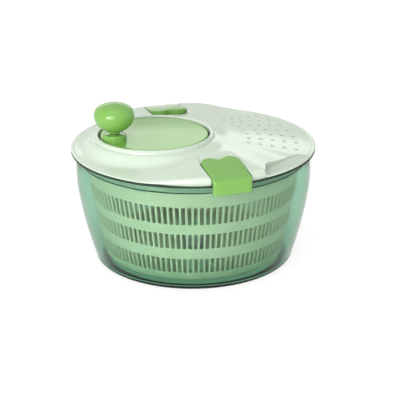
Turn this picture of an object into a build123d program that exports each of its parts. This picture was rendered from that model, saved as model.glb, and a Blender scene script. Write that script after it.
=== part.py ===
from build123d import *
import math
import os

# Hand-cranked salad spinner, in millimetres.
# The origin is the centre of the base, on the surface that the bowl stands on.
# +Z is up, the front clip is towards -Y and the crank well towards -X.

# Fits
running_fit = 0.05
fixed_fit = 0.02
loose_gap = 0.3

# Bowl
bowl_height = 115.0
bowl_rim_radius = 119.9
bowl_base_radius = 103.2
bowl_corner_width = 6.2
bowl_corner_height = 7.0
bowl_shoulder_height = 84.0
bowl_wall_bulge = 2.0
bowl_wall = 2.2
bowl_floor = 3.0
rim_band_height = 7.7
rim_band_step = 2.6

# Rubber ring in the base, and the steel pin that the basket turns on
foot_stand = 0.6
ring_groove_depth = 1.0
ring_width = 6.5
ring_inset = 0.5
pivot_radius = 2.5
pivot_socket = 8.0
pivot_above_boss = 7.5
pivot_boss_radius = 5.0
pivot_boss_height = 9.9
pivot_chamfer = 0.8

# Basket
basket_base_radius = 93.5
basket_top_radius = 111.0
basket_corner = 6.0
basket_wall = 2.0
basket_floor = 2.0
basket_ground_gap = 2.4
slot_count = 112
slot_share = 0.65
slot_row_heights = (15.6, 16.3, 18.8)
slot_row_pitch = 27.2
slot_first_row = 10.5
floor_slot_count = 36
floor_slot_width = 3.0
floor_slot_length = 38.0
floor_slot_start = 30.0
hub_wall = 2.4
bush_wall = 4.1
bush_cap = 2.5
bush_length = 6.3

# Lid shell
seal_thickness = 0.8
seal_inset = 1.6
lid_overhang = 2.0
lid_wall = 2.4
lid_edge_height = 4.2
lid_rise = 10.0
lid_rim_width = 7.0
rim_groove_width = 2.1
rim_groove_depth = 0.7
rim_bead_drop = 1.8
skirt_clearance = 1.0
skirt_wall = 2.2
skirt_depth = 5.8

# Crank well and the stack of levels under it
gear_module = 1.0
gear_teeth = 64
pinion_teeth = 18
gear_backlash = 0.2
gear_pressure_angle = 20.0
gear_root_clearance = 0.25
gear_thickness = 6.0
gear_end_gap = 0.5
well_radius = 56.5
well_lip_width = 5.0
well_lip_height = 5.0
well_lip_wall = 2.2
well_lip_round = 1.5
well_floor = 2.5
well_depth_under_disc = 6.5

# Crank disc and knob
disc_gap = 2.0
disc_below_lip = 1.5
disc_thickness = 3.0
disc_dome = 0.8
disc_edge_round = 1.5
disc_skirt_wall = 2.5
disc_skirt_gap = 0.8
crank_shaft_radius = 7.0
crank_square = 9.0
crank_bush_wall = 2.45
bush_flange_width = 2.0
bush_flange = 0.4
thrust_gap = 0.2
bush_boss_wall = 3.0
screw_radius = 2.0
screw_head_radius = 4.5
screw_head_height = 2.8
washer_radius = 8.0
washer_thickness = 1.2
screw_bite = 9.0
screw_slot_length = 1.3
screw_slot_width = 0.25
screw_slot_depth = 0.33
clamp_gap = 0.4
knob_offset = 43.0
knob_angle = 189.0
knob_boss_radius = 11.0
knob_boss_height = 6.8
knob_radius = 20.25
knob_neck_radius = 5.0
knob_top_height = 12.3
knob_lower_height = 17.5
knob_shoulder_radius = 9.5
knob_centre_above_boss = 19.2
knob_split_below_centre = 12.0
stud_radius = 3.0
stud_head_radius = 5.5
stud_head_height = 2.5
stud_head_above_split = 4.8
knob_tube_wall = 3.0
knob_cavity_gap = 3.0
knob_head_room = 3.2

# Gear cover, driver shaft and spider
cover_gap = 0.6
cover_wall = 2.2
gear_side_gap = 2.0
cover_boss_depth = 3.0
cover_boss_wall = 3.5
cover_access_gap = 2.0
cover_lug_radius = 4.5
cover_lug_out = 3.0
cover_lug_angles = (70.0, 150.0, 210.0, 290.0)
cover_screw_radius = 1.4
cover_screw_head_radius = 2.8
cover_screw_head = 2.0
cover_screw_bite = 2.0
driver_shaft_radius = 5.0
driver_square = 7.0
driver_bush_wall = 1.95
driver_screw_bite = 6.0
driver_screw_head_radius = 5.6
spider_gap = 0.4
spider_hub_radius = 13.0
spider_hub_step = 1.8
spider_thickness = 3.6
spider_arm_width = 9.0
spider_ring_width = 5.0
spider_ring_gap = 5.0
lug_count = 4
lug_width = 12.0
lug_first_angle = 45.0

# Clips, with their hinge pins and leaf springs
clip_width = 38.6
clip_length = 47.0
clip_flap_gap = 2.0
clip_flap_wall = 3.5
clip_lip = 1.5
clip_lip_height = 2.2
clip_top_inner = 15.0
clip_top_outer = 7.2
clip_flap_bottom = 8.1
clip_end_depth = 8.0
clip_plate = 3.0
clip_skirt = 2.2
clip_corner_round = 2.5
clip_lobe_radius = 9.0
clip_wave_depth = 4.0
clip_side_gap = 0.8
clip_end_gap = 0.7
clip_pin_radius = 1.5
clip_pin_inset = 6.0
clip_pin_above_lid_bottom = 1.8
clip_barrel_wall = 1.65
clip_under_rim = 3.5
clip_flange_thickness = 1.7
clip_flap_clearance = 1.3
pocket_wall = 2.0
pocket_depth = 2.8
spring_thickness = 0.6
spring_width = 12.0
spring_foot_length = 6.0
spring_foot_inset = 8.5
spring_rise_length = 5.0
spring_bow = 1.5

# Drain holes, in a fan about the crank centre
drain_rows = 5
drain_columns = 7
drain_edge_margin = 21.5
drain_row_step = 12.0
drain_column_step = 8.2
drain_radius = 2.25

# Pour recess beside the front clip
recess_angle = -55.5
recess_half_angle = 17.5
recess_length = 21.0
recess_inner_half_length = 19.0
recess_outer_margin = 6.5
recess_floor_above_bottom = 1.7
recess_inner_step = 0.8
recess_corner = 5.0
recess_wall = 1.7

# Levels and radii that follow from the sizes above
bowl_floor_top = foot_stand + bowl_floor
bowl_inner_radius = bowl_rim_radius - bowl_wall
bowl_foot_radius = bowl_base_radius - bowl_corner_width
rim_band_radius = bowl_rim_radius + rim_band_step
pivot_boss_top = bowl_floor_top + pivot_boss_height
pivot_tip = pivot_boss_top + pivot_above_boss
basket_bottom = bowl_floor_top + basket_ground_gap
bush_bore_top = pivot_tip + loose_gap
bush_top = bush_bore_top + bush_cap
hub_inner_radius = pivot_radius + running_fit + bush_wall
hub_radius = hub_inner_radius + hub_wall
hub_top = bush_top + hub_wall

lid_bottom = bowl_height + seal_thickness
lid_radius = rim_band_radius + lid_overhang
lid_edge_top = lid_bottom + lid_edge_height
lid_crown = lid_edge_top + lid_rise
dome_radius = lid_radius - lid_rim_width
skirt_outer_radius = bowl_inner_radius - skirt_clearance
skirt_inner_radius = skirt_outer_radius - skirt_wall

crank_x = -gear_module * (gear_teeth + pinion_teeth) / 2
lip_top = lid_crown + well_lip_height
disc_top = lip_top - disc_below_lip
disc_under = disc_top - disc_thickness
well_floor_top = disc_under - well_depth_under_disc
well_floor_bottom = well_floor_top - well_floor
gear_top = well_floor_bottom - gear_end_gap
gear_bottom = gear_top - gear_thickness
cover_top = gear_bottom - cover_gap
cover_bottom = cover_top - cover_wall
cover_boss_bottom = cover_bottom - cover_boss_depth
spider_hub_top = cover_boss_bottom - spider_gap
spider_top = spider_hub_top - spider_hub_step
spider_bottom = spider_top - spider_thickness
basket_top = spider_top

boss_top = disc_top + knob_boss_height
knob_centre = boss_top + knob_centre_above_boss
knob_split = knob_centre - knob_split_below_centre
knob_bottom = boss_top + loose_gap
stud_head_bottom = knob_split + stud_head_above_split
stud_bore = stud_radius + running_fit
knob_tube_radius = stud_bore + knob_tube_wall

clip_outer = rim_band_radius + clip_flap_gap + clip_flap_wall
clip_flap_inner = clip_outer - clip_flap_wall
clip_inner_reach = clip_outer - clip_length
clip_pin_reach = skirt_inner_radius - clip_pin_inset
clip_pin_height = lid_bottom + clip_pin_above_lid_bottom
pocket_floor_top = lid_bottom - pocket_depth
pocket_floor_bottom = pocket_floor_top - pocket_wall
flange_top = lid_bottom + clip_flange_thickness
recess_floor_top = lid_bottom + recess_floor_above_bottom

# A height and a length that reach past every piece, for cutting tools
beyond = 2 * lid_radius

crank_place = Pos(crank_x, 0, 0)
knob_place = crank_place * Rot(0, 0, knob_angle) * Pos(knob_offset, 0, 0)
front = Rot(0, 0, 180)


def turned(edges):
    """A solid of revolution about Z from edges drawn as radius and height."""
    return revolve(Plane.XZ * make_face(edges), Axis.Z)


def rod(radius, low, high):
    """An upright cylinder between two heights."""
    return Pos(0, 0, low) * Cylinder(radius, high - low, align=(Align.CENTER, Align.CENTER, Align.MIN))


def block(length, width, low, high):
    """An upright block, centred on Z, between two heights."""
    return Pos(0, 0, low) * Box(length, width, high - low, align=(Align.CENTER, Align.CENTER, Align.MIN))


def tube(outer, inner, low, high):
    """An upright tube between two heights."""
    return rod(outer, low, high) - rod(inner, low, high)


def raised(face, low, high):
    """A flat outline stretched upright between two heights."""
    return extrude(Pos(0, 0, low) * face, high - low, dir=(0, 0, 1))


def side_prism(face, width):
    """An outline drawn as Y and Z, stretched along X about the middle."""
    return extrude(Plane.YZ * face, width / 2, both=True)


def cross_rod(radius, length, reach, height):
    """A rod along X, at a distance along Y and a height."""
    return Pos(0, reach, height) * Rot(0, 90, 0) * Cylinder(radius, length)


def bowed(start, end, bulge):
    """An arc between two points that swells out by bulge at its middle."""
    along = Vector(*end) - Vector(*start)
    outward = Vector(along.Y, -along.X).normalized()
    middle = (Vector(*start) + Vector(*end)) / 2 + outward * bulge
    return ThreePointArc(start, middle, end)


def bowl_wall_line(thin):
    """The bowl's corner and wall, thin millimetres inside its outer face, from the base up."""
    floor = foot_stand + (bowl_floor if thin else 0)
    corner = EllipticalCenterArc(
        (bowl_foot_radius, bowl_corner_height),
        bowl_base_radius - thin - bowl_foot_radius,
        bowl_corner_height - floor,
        start_angle=270,
        arc_size=90,
    )
    low = (bowl_base_radius - thin, bowl_corner_height)
    high = (bowl_rim_radius - thin, bowl_shoulder_height)
    return [Line((0, floor), (bowl_foot_radius, floor)), corner, bowed(low, high, bowl_wall_bulge)]


def make_bowl():
    band_bottom = bowl_height - rim_band_height
    outline = bowl_wall_line(0) + bowl_wall_line(bowl_wall)
    outline += Polyline(
        (bowl_rim_radius, bowl_shoulder_height),
        (bowl_rim_radius, band_bottom),
        (rim_band_radius, band_bottom),
        (rim_band_radius, bowl_height),
        (bowl_inner_radius, bowl_height),
        (bowl_inner_radius, bowl_shoulder_height),
    ).edges()
    outline.append(Line((0, foot_stand), (0, bowl_floor_top)))
    ring_outer = bowl_foot_radius - ring_inset
    groove = tube(ring_outer, ring_outer - ring_width, 0, foot_stand + ring_groove_depth)
    socket = rod(pivot_radius + fixed_fit, pivot_boss_top - pivot_socket, pivot_boss_top)
    boss = rod(pivot_boss_radius, foot_stand + bowl_floor / 2, pivot_boss_top)
    return turned(outline) + boss - socket - groove


def make_non_slip_ring():
    outer = bowl_foot_radius - ring_inset
    inner = outer - ring_width
    return tube(outer - fixed_fit, inner + fixed_fit, 0, foot_stand + ring_groove_depth)


def make_pivot_pin():
    pin = rod(pivot_radius, pivot_boss_top - pivot_socket, pivot_tip)
    return chamfer(pin.edges().sort_by(Axis.Z)[-1], pivot_chamfer)


def basket_radius(height):
    """Outer radius of the basket's sloping wall at a height."""
    wall_bottom = basket_bottom + basket_corner
    slope = (basket_top_radius - basket_base_radius) / (basket_top - wall_bottom)
    return basket_base_radius + slope * (height - wall_bottom)


def basket_wall_line(thin, floor):
    """The basket's floor, corner and wall, thin millimetres inside its outer face."""
    foot = basket_base_radius - basket_corner
    corner_height = basket_bottom + basket_corner
    corner = EllipticalCenterArc(
        (foot, corner_height), basket_corner - thin, corner_height - floor, start_angle=270, arc_size=90
    )
    wall = Line((basket_base_radius - thin, corner_height), (basket_top_radius - thin, basket_top))
    return [Line((0, floor), (foot, floor)), corner, wall]


def slot_tools():
    """Upright slots in rings round the basket's wall."""
    tools = []
    for row, height in enumerate(slot_row_heights):
        low = basket_bottom + slot_first_row + row * slot_row_pitch
        middle = basket_radius(low + height / 2) - basket_wall / 2
        width = slot_share * 2 * math.pi * middle / slot_count
        wall_lean = basket_radius(low + height) - basket_radius(low)
        slot = block(2 * (basket_wall + wall_lean), width, low, low + height)
        tools += [place * slot for place in PolarLocations(middle, slot_count)]
    return tools


def make_basket():
    floor_top = basket_bottom + basket_floor
    outline = basket_wall_line(0, basket_bottom) + basket_wall_line(basket_wall, floor_top)
    outline.append(Line((0, basket_bottom), (0, floor_top)))
    outline.append(Line((basket_top_radius - basket_wall, basket_top), (basket_top_radius, basket_top)))
    basket = turned(outline) + rod(hub_radius, basket_bottom, hub_top)
    basket -= rod(hub_inner_radius + fixed_fit, basket_bottom, bush_top)
    floor_slot = block(floor_slot_length, floor_slot_width, basket_bottom, floor_top)
    floor_middle = floor_slot_start + floor_slot_length / 2
    tools = [place * floor_slot for place in PolarLocations(floor_middle, floor_slot_count)]
    notch_width = lug_width + 2 * loose_gap
    notch_length = 2 * (basket_wall + spider_ring_gap)
    notch = block(notch_length, notch_width, spider_bottom - loose_gap, basket_top)
    tools += [place * notch for place in PolarLocations(basket_top_radius, lug_count, lug_first_angle)]
    return basket - (tools + slot_tools())


def make_basket_bush():
    bush = rod(hub_inner_radius, bush_top - bush_cap - bush_length, bush_top)
    return bush - rod(pivot_radius + running_fit, bush_top - bush_cap - bush_length, bush_bore_top)


def dome_height(radius):
    """Height of the lid's outer face at a distance from the lid's centre."""
    return lid_crown - lid_rise * (radius / dome_radius) ** 2


def crown_line(reach, centre, edge):
    """A shallow dome's line, from its centre height out to its edge height at a radius."""
    quarter_way = centre + (edge - centre) / 4
    return ThreePointArc((0, centre), (reach / 2, quarter_way), (reach, edge))


def dome_line(reach, drop):
    """The lid's domed line from its centre out to a radius, drop millimetres below its face."""
    return crown_line(reach, lid_crown - drop, dome_height(reach) - drop)


def lid_rim_line():
    """The lid's face: dome, thin groove, rounded bead and upright edge."""
    groove_end = dome_radius + rim_groove_width
    groove_middle = dome_radius + rim_groove_width / 2
    bead_middle = (groove_end + lid_radius) / 2
    return [
        dome_line(dome_radius, 0),
        ThreePointArc(
            (dome_radius, lid_edge_top),
            (groove_middle, lid_edge_top - rim_groove_depth),
            (groove_end, lid_edge_top),
        ),
        ThreePointArc(
            (groove_end, lid_edge_top),
            (bead_middle, lid_edge_top),
            (lid_radius, lid_edge_top - rim_bead_drop),
        ),
        Line((lid_radius, lid_edge_top - rim_bead_drop), (lid_radius, lid_bottom)),
    ]


def make_lid_shell():
    skirt_bottom = lid_bottom - skirt_depth
    outline = lid_rim_line() + [dome_line(skirt_inner_radius, lid_wall)]
    outline += Polyline(
        (lid_radius, lid_bottom),
        (skirt_outer_radius, lid_bottom),
        (skirt_outer_radius, skirt_bottom),
        (skirt_inner_radius, skirt_bottom),
        (skirt_inner_radius, dome_height(skirt_inner_radius) - lid_wall),
    ).edges()
    outline.append(Line((0, lid_crown), (0, lid_crown - lid_wall)))
    return turned(outline)


def make_lid_envelope():
    """Everything under the lid's face, to trim the pockets' walls with."""
    outline = lid_rim_line()
    outline += Polyline((lid_radius, lid_bottom), (lid_radius, 0), (0, 0), (0, lid_crown)).edges()
    return turned(outline)


def make_well():
    """The crank well: floor, wall and rounded lip, hollow under the lip."""
    outer = well_radius + well_lip_width
    lip_start = well_radius + well_lip_round
    shoulder = lip_top - well_lip_height
    wall_outer = well_radius + well_lip_wall
    lip_inner = outer - well_lip_wall
    lip_foot = dome_height(outer - crank_x) - lid_wall / 2
    roof = shoulder - well_lip_wall
    outline = [
        CenterArc((lip_start, lip_top - well_lip_round), well_lip_round, 90, 90),
        EllipticalCenterArc((lip_start, shoulder), outer - lip_start, well_lip_height, arc_size=90),
    ]
    outline += Polyline(
        (outer, shoulder),
        (outer, lip_foot),
        (lip_inner, lip_foot),
        (lip_inner, roof),
        (wall_outer, roof),
        (wall_outer, well_floor_bottom),
        (0, well_floor_bottom),
        (0, well_floor_top),
        (well_radius, well_floor_top),
        (well_radius, lip_top - well_lip_round),
    ).edges()
    return crank_place * turned(outline)


def clip_plan(grow):
    """Plan of the rear clip, grown all round: straight sides and a wavy inner end of two lobes."""
    half = clip_width / 2
    lobe_x = half - clip_lobe_radius
    lobe_y = clip_inner_reach + clip_lobe_radius
    valley_radius = (lobe_x**2 / clip_wave_depth + clip_wave_depth) / 2 - clip_lobe_radius
    valley_y = clip_inner_reach + clip_wave_depth - valley_radius
    lean = math.degrees(math.atan2(lobe_y - valley_y, lobe_x))
    outer = clip_outer + grow
    edges = [
        CenterArc((-lobe_x, lobe_y), clip_lobe_radius + grow, 180, 180 - lean),
        CenterArc((0, valley_y), valley_radius - grow, lean, 180 - 2 * lean),
        CenterArc((lobe_x, lobe_y), clip_lobe_radius + grow, 180 + lean, 180 - lean),
    ]
    edges += Polyline(
        (half + grow, lobe_y), (half + grow, outer), (-half - grow, outer), (-half - grow, lobe_y)
    ).edges()
    return make_face(edges)


def recess_plan(grow):
    """Plan of the pour recess: a straight inner edge, splayed sides and the rim's curve."""
    reach = lid_radius - recess_outer_margin + grow
    half = math.radians(recess_half_angle) + grow / reach
    inner = lid_radius - recess_outer_margin - recess_length - grow
    corner = (reach * math.cos(half), reach * math.sin(half))
    mirrored = (corner[0], -corner[1])
    inner_corner = (inner, recess_inner_half_length + grow)
    inner_mirrored = (inner, -recess_inner_half_length - grow)
    edges = Polyline(corner, inner_corner, inner_mirrored, mirrored).edges()
    edges.append(ThreePointArc(corner, (reach, 0), mirrored))
    plan = make_face(edges)
    corners = (inner_corner, inner_mirrored)
    rounded = [plan.vertices().sort_by_distance(Vector(*point))[0] for point in corners]
    return Rot(0, 0, recess_angle) * fillet(rounded, recess_corner)


def recess_tool():
    """The room over the pour recess, whose floor slopes down from the lid's face to the rim."""
    outer = lid_radius - recess_outer_margin
    inner = outer - recess_length
    inner_low = dome_height(inner) - recess_inner_step
    fall = (inner_low - recess_floor_top) / recess_length
    above_floor = Polyline(
        (inner - recess_wall, inner_low + fall * recess_wall),
        (outer + recess_wall, recess_floor_top - fall * recess_wall),
        (outer + recess_wall, beyond),
        (inner - recess_wall, beyond),
        close=True,
    )
    room = Rot(0, 0, recess_angle - 90) * side_prism(make_face(above_floor), beyond)
    return raised(recess_plan(0), lid_bottom, beyond) & room


def drain_tools():
    """Drain holes on arcs about the crank centre."""
    tools = []
    drill = rod(drain_radius, lid_bottom, beyond)
    for row in range(drain_rows):
        reach = lid_radius - drain_edge_margin - crank_x - row * drain_row_step
        for column in range(drain_columns):
            angle = (column - (drain_columns - 1) / 2) * drain_column_step
            tools.append(crank_place * Rot(0, 0, angle) * Pos(reach, 0, 0) * drill)
    return tools


def cover_screw_places():
    reach = gear_module * (gear_teeth / 2 + 1) + gear_side_gap + cover_wall + cover_lug_out
    return [crank_place * Rot(0, 0, angle) * Pos(reach, 0, 0) for angle in cover_lug_angles]


def make_lid():
    envelope = make_lid_envelope()
    lid = make_lid_shell() - crank_place * rod(well_radius + well_lip_wall, 0, beyond)
    lid += make_well()

    within_skirt = rod(skirt_outer_radius, 0, beyond)
    room_plan = Pos(0, -clip_end_gap, 0) * clip_plan(clip_side_gap)
    wall_plan = Pos(0, -clip_end_gap, 0) * clip_plan(clip_side_gap + pocket_wall)
    pocket_body = raised(wall_plan, pocket_floor_bottom, lip_top)
    pocket_body = pocket_body & within_skirt & envelope
    pocket_space = raised(room_plan, pocket_floor_top, beyond)
    pocket_space = pocket_space & rod(skirt_inner_radius, 0, beyond)
    notch = raised(room_plan, flange_top, beyond)
    notch_width = clip_width + 2 * clip_side_gap
    flap_face = clip_flap_inner - clip_flap_clearance
    flap_room = Pos(0, flap_face + beyond / 2, 0) * block(notch_width, beyond, 0, beyond)
    pin_hole = cross_rod(clip_pin_radius + fixed_fit, beyond, clip_pin_reach, clip_pin_height)
    pin_hole = pin_hole & block(clip_width + 2 * (clip_side_gap + pocket_wall), beyond, 0, beyond)

    recess_body = raised(recess_plan(recess_wall), lid_bottom, beyond) & envelope
    lid += [pocket_body, front * pocket_body, recess_body]
    cuts = [pocket_space, notch, flap_room, pin_hole]
    cuts += [front * tool for tool in cuts]
    cuts.append(recess_tool())
    lid -= cuts

    bush_outer = crank_shaft_radius + running_fit + crank_bush_wall
    bush_boss_top = disc_under - thrust_gap - bush_flange
    lid += crank_place * rod(bush_outer + bush_boss_wall, well_floor_bottom, bush_boss_top)
    holes = [crank_place * rod(bush_outer + fixed_fit, 0, bush_boss_top)]
    screw_hole = rod(cover_screw_radius + fixed_fit, 0, well_floor_bottom + cover_screw_bite)
    holes += [place * screw_hole for place in cover_screw_places()]
    return lid - (holes + drain_tools())


def make_rim_seal():
    return tube(lid_radius - seal_inset, skirt_outer_radius + loose_gap, bowl_height, lid_bottom)


def make_crank_disc():
    radius = well_radius - disc_gap
    flat = radius - disc_edge_round
    skirt_bottom = well_floor_top + disc_skirt_gap
    outline = [
        crown_line(flat, disc_top + disc_dome, disc_top),
        CenterArc((flat, disc_top - disc_edge_round), disc_edge_round, 0, 90),
    ]
    outline += Polyline(
        (radius, disc_top - disc_edge_round),
        (radius, skirt_bottom),
        (radius - disc_skirt_wall, skirt_bottom),
        (radius - disc_skirt_wall, disc_under),
        (crank_shaft_radius, disc_under),
        (crank_shaft_radius, gear_top),
        (0, gear_top),
        (0, disc_top + disc_dome),
    ).edges()
    disc = crank_place * turned(outline)
    disc += crank_place * block(crank_square, crank_square, gear_bottom + clamp_gap, gear_top)
    disc += knob_place * rod(knob_boss_radius, disc_under, boss_top)
    disc -= crank_place * rod(screw_radius + fixed_fit, 0, gear_bottom + screw_bite)
    return disc - knob_place * rod(stud_radius + fixed_fit, 0, boss_top)


def involute_angle(pressure):
    return math.tan(pressure) - pressure


def gear_edges(teeth, first_tooth):
    """Outline of a spur gear, with its first tooth centred on an angle in degrees."""
    pressure = math.radians(gear_pressure_angle)
    pitch = gear_module * teeth / 2
    base = pitch * math.cos(pressure)
    root = pitch - gear_module * (1 + gear_root_clearance)
    tip = pitch + gear_module
    half_tooth = math.pi / (2 * teeth) - gear_backlash / (4 * pitch)
    flank_start = max(root, base)

    def half_angle(radius):
        return half_tooth + involute_angle(pressure) - involute_angle(math.acos(base / radius))

    def spot(radius, angle):
        return (radius * math.cos(angle), radius * math.sin(angle))

    edges = []
    for tooth in range(teeth):
        middle = math.radians(first_tooth) + tooth * 2 * math.pi / teeth
        following = middle + 2 * math.pi / teeth
        flank_radii = (flank_start, (flank_start + tip) / 2, tip)
        for side in (-1, 1):
            flank = [spot(radius, middle + side * half_angle(radius)) for radius in flank_radii]
            edges.append(ThreePointArc(*flank))
            if flank_start > root:
                edges.append(Line(spot(root, middle + side * half_angle(flank_start)), flank[0]))
        tip_half = half_angle(tip)
        tip_points = [spot(tip, middle + turn * tip_half) for turn in (-1, 0, 1)]
        edges.append(ThreePointArc(*tip_points))
        root_half = half_angle(flank_start)
        root_points = [
            spot(root, middle + root_half),
            spot(root, (middle + following) / 2),
            spot(root, following - root_half),
        ]
        edges.append(ThreePointArc(*root_points))
    return edges


def make_crank_gear():
    gear = raised(make_face(gear_edges(gear_teeth, 180 / gear_teeth)), gear_bottom, gear_top)
    side = crank_square + 2 * running_fit
    return crank_place * (gear - block(side, side, gear_bottom, gear_top))


def make_crank_bush():
    outer = crank_shaft_radius + running_fit + crank_bush_wall
    top = disc_under - thrust_gap
    bush = rod(outer, well_floor_bottom, top) + rod(outer + bush_flange_width, top - bush_flange, top)
    return crank_place * (bush - rod(crank_shaft_radius + running_fit, 0, top))


def make_washer():
    low = gear_bottom - washer_thickness
    return crank_place * tube(washer_radius, screw_radius + fixed_fit, low, gear_bottom)


def cross_slot(radius, low):
    """A cross-shaped driver recess in the underside of a screw head."""
    bar = block(screw_slot_length * radius, screw_slot_width * radius, low, low + screw_slot_depth * radius)
    return bar + Rot(0, 0, 90) * bar


def make_screw(head_radius, shank_radius, head_low, head_high, tip):
    screw = rod(head_radius, head_low, head_high) + rod(shank_radius, head_low, tip)
    return screw - cross_slot(head_radius, head_low)


def make_crank_screw():
    head_high = gear_bottom - washer_thickness
    head_low = head_high - screw_head_height
    tip = gear_bottom + screw_bite
    return crank_place * make_screw(screw_head_radius, screw_radius, head_low, head_high, tip)


def make_knob_stud():
    stud = rod(stud_radius, disc_under, stud_head_bottom)
    head = rod(stud_head_radius, stud_head_bottom, stud_head_bottom + stud_head_height)
    return knob_place * (stud + head)


def knob_lower_line(start, end):
    """Part of the lower half of the knob's outline, between two angles below its widest point."""
    centre = (0, knob_centre)
    return EllipticalCenterArc(centre, knob_radius, knob_lower_height, start, arc_size=end - start)


def knob_angles():
    """Angles on the knob's lower outline at its neck and at the line between its halves."""
    neck = -math.degrees(math.acos(knob_neck_radius / knob_radius))
    split = -math.degrees(math.asin(knob_split_below_centre / knob_lower_height))
    return neck, split


def make_knob_collar():
    neck, split = knob_angles()
    belly = knob_lower_line(neck, split)
    tube_top = stud_head_bottom - loose_gap
    outline = [belly]
    outline += Polyline(
        belly @ 1,
        (knob_tube_radius, knob_split),
        (knob_tube_radius, tube_top),
        (stud_bore, tube_top),
        (stud_bore, knob_bottom),
        (knob_neck_radius, knob_bottom),
        belly @ 0,
    ).edges()
    return knob_place * turned(outline)


def knob_crown_lines():
    """The knob's rounded shoulder and flatter crown, two arcs that run into each other."""
    shoulder_x = knob_radius - knob_shoulder_radius
    crown_radius = (knob_top_height**2 + shoulder_x**2 - knob_shoulder_radius**2) / (
        2 * (knob_top_height - knob_shoulder_radius)
    )
    crown_centre = knob_top_height - crown_radius
    turn = math.degrees(math.atan2(-crown_centre, shoulder_x))
    half_way = math.radians((turn + 90) / 2)
    shoulder = CenterArc((shoulder_x, knob_centre), knob_shoulder_radius, 0, turn)
    middle_x = crown_radius * math.cos(half_way)
    middle_z = knob_centre + crown_centre + crown_radius * math.sin(half_way)
    crown = ThreePointArc(shoulder @ 1, (middle_x, middle_z), (0, knob_centre + knob_top_height))
    return [shoulder, crown]


def make_knob_cap():
    split = knob_angles()[1]
    belly = knob_lower_line(split, 0)
    cavity_radius = knob_tube_radius + knob_cavity_gap
    cavity_top = stud_head_bottom + stud_head_height + knob_head_room
    outline = [belly] + knob_crown_lines()
    outline += Polyline(
        (0, knob_centre + knob_top_height),
        (0, cavity_top),
        (cavity_radius, cavity_top),
        (cavity_radius, knob_split),
        belly @ 0,
    ).edges()
    return knob_place * turned(outline)


def cover_plan(gap):
    """Plan of the gear case: two circles round the gears and their common tangents."""
    large = gear_module * (gear_teeth / 2 + 1) + gap
    small = gear_module * (pinion_teeth / 2 + 1) + gap
    circles = crank_place * Circle(large) + Circle(small)
    return make_hull(circles.edges())


def make_gear_cover():
    body = raised(cover_plan(gear_side_gap + cover_wall), cover_bottom, well_floor_bottom)
    lug = rod(cover_lug_radius, cover_bottom, well_floor_bottom)
    body += [place * lug for place in cover_screw_places()]
    bush_outer = driver_shaft_radius + running_fit + driver_bush_wall
    body += rod(bush_outer + cover_boss_wall, cover_boss_bottom, cover_top)
    cuts = [raised(cover_plan(gear_side_gap), cover_top, well_floor_bottom)]
    cuts.append(rod(bush_outer + fixed_fit, cover_boss_bottom, cover_top))
    cuts.append(crank_place * rod(washer_radius + cover_access_gap, cover_bottom, cover_top))
    screw_hole = rod(cover_screw_radius + fixed_fit, cover_bottom, well_floor_bottom)
    cuts += [place * screw_hole for place in cover_screw_places()]
    return body - cuts


def make_gear_cover_screws():
    tip = well_floor_bottom + cover_screw_bite
    head_low = cover_bottom - cover_screw_head
    screw = make_screw(cover_screw_head_radius, cover_screw_radius, head_low, cover_bottom, tip)
    return Compound(children=[place * screw for place in cover_screw_places()])


def make_driver_bush():
    outer = driver_shaft_radius + running_fit + driver_bush_wall
    top = cover_top + bush_flange
    bush = rod(outer, cover_boss_bottom, top) + rod(outer + bush_flange_width, cover_top, top)
    return bush - rod(driver_shaft_radius + running_fit, 0, top)


def make_drive_pinion():
    pinion = raised(make_face(gear_edges(pinion_teeth, 180)), gear_bottom, gear_top)
    pinion += rod(driver_shaft_radius, spider_hub_top, gear_bottom)
    pinion += block(driver_square, driver_square, spider_bottom + clamp_gap, spider_hub_top)
    return pinion - rod(screw_radius + fixed_fit, 0, spider_hub_top + driver_screw_bite)


def make_driver_spider():
    ring_outer = basket_top_radius - basket_wall - spider_ring_gap
    ring_inner = ring_outer - spider_ring_width
    spider = tube(ring_outer, ring_inner, spider_bottom, spider_top)
    spider += rod(spider_hub_radius, spider_bottom, spider_hub_top)
    arm_reach = (ring_inner + ring_outer) / 2
    arm = Pos(arm_reach / 2, 0, 0) * block(arm_reach, spider_arm_width, spider_bottom, spider_top)
    lug_start = (ring_inner + ring_outer) / 2
    lug_length = basket_top_radius - lug_start
    lug = Pos(lug_start + lug_length / 2, 0, 0) * block(lug_length, lug_width, spider_bottom, spider_top)
    turns = [Rot(0, 0, lug_first_angle + step * 360 / lug_count) for step in range(lug_count)]
    spider += [turn * arm for turn in turns]
    spider += [turn * lug for turn in turns]
    side = driver_square + 2 * running_fit
    return spider - block(side, side, spider_bottom, spider_hub_top)


def make_driver_screw():
    head_low = spider_bottom - screw_head_height
    tip = spider_hub_top + driver_screw_bite
    return make_screw(driver_screw_head_radius, screw_radius, head_low, spider_bottom, tip)


def clip_top(reach):
    """Height of the clip's sloping top at a distance from the lid's centre."""
    inner = lid_bottom + clip_top_inner
    outer = lid_bottom + clip_top_outer
    return inner + (outer - inner) * (reach - clip_inner_reach) / (clip_outer - clip_inner_reach)


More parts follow.
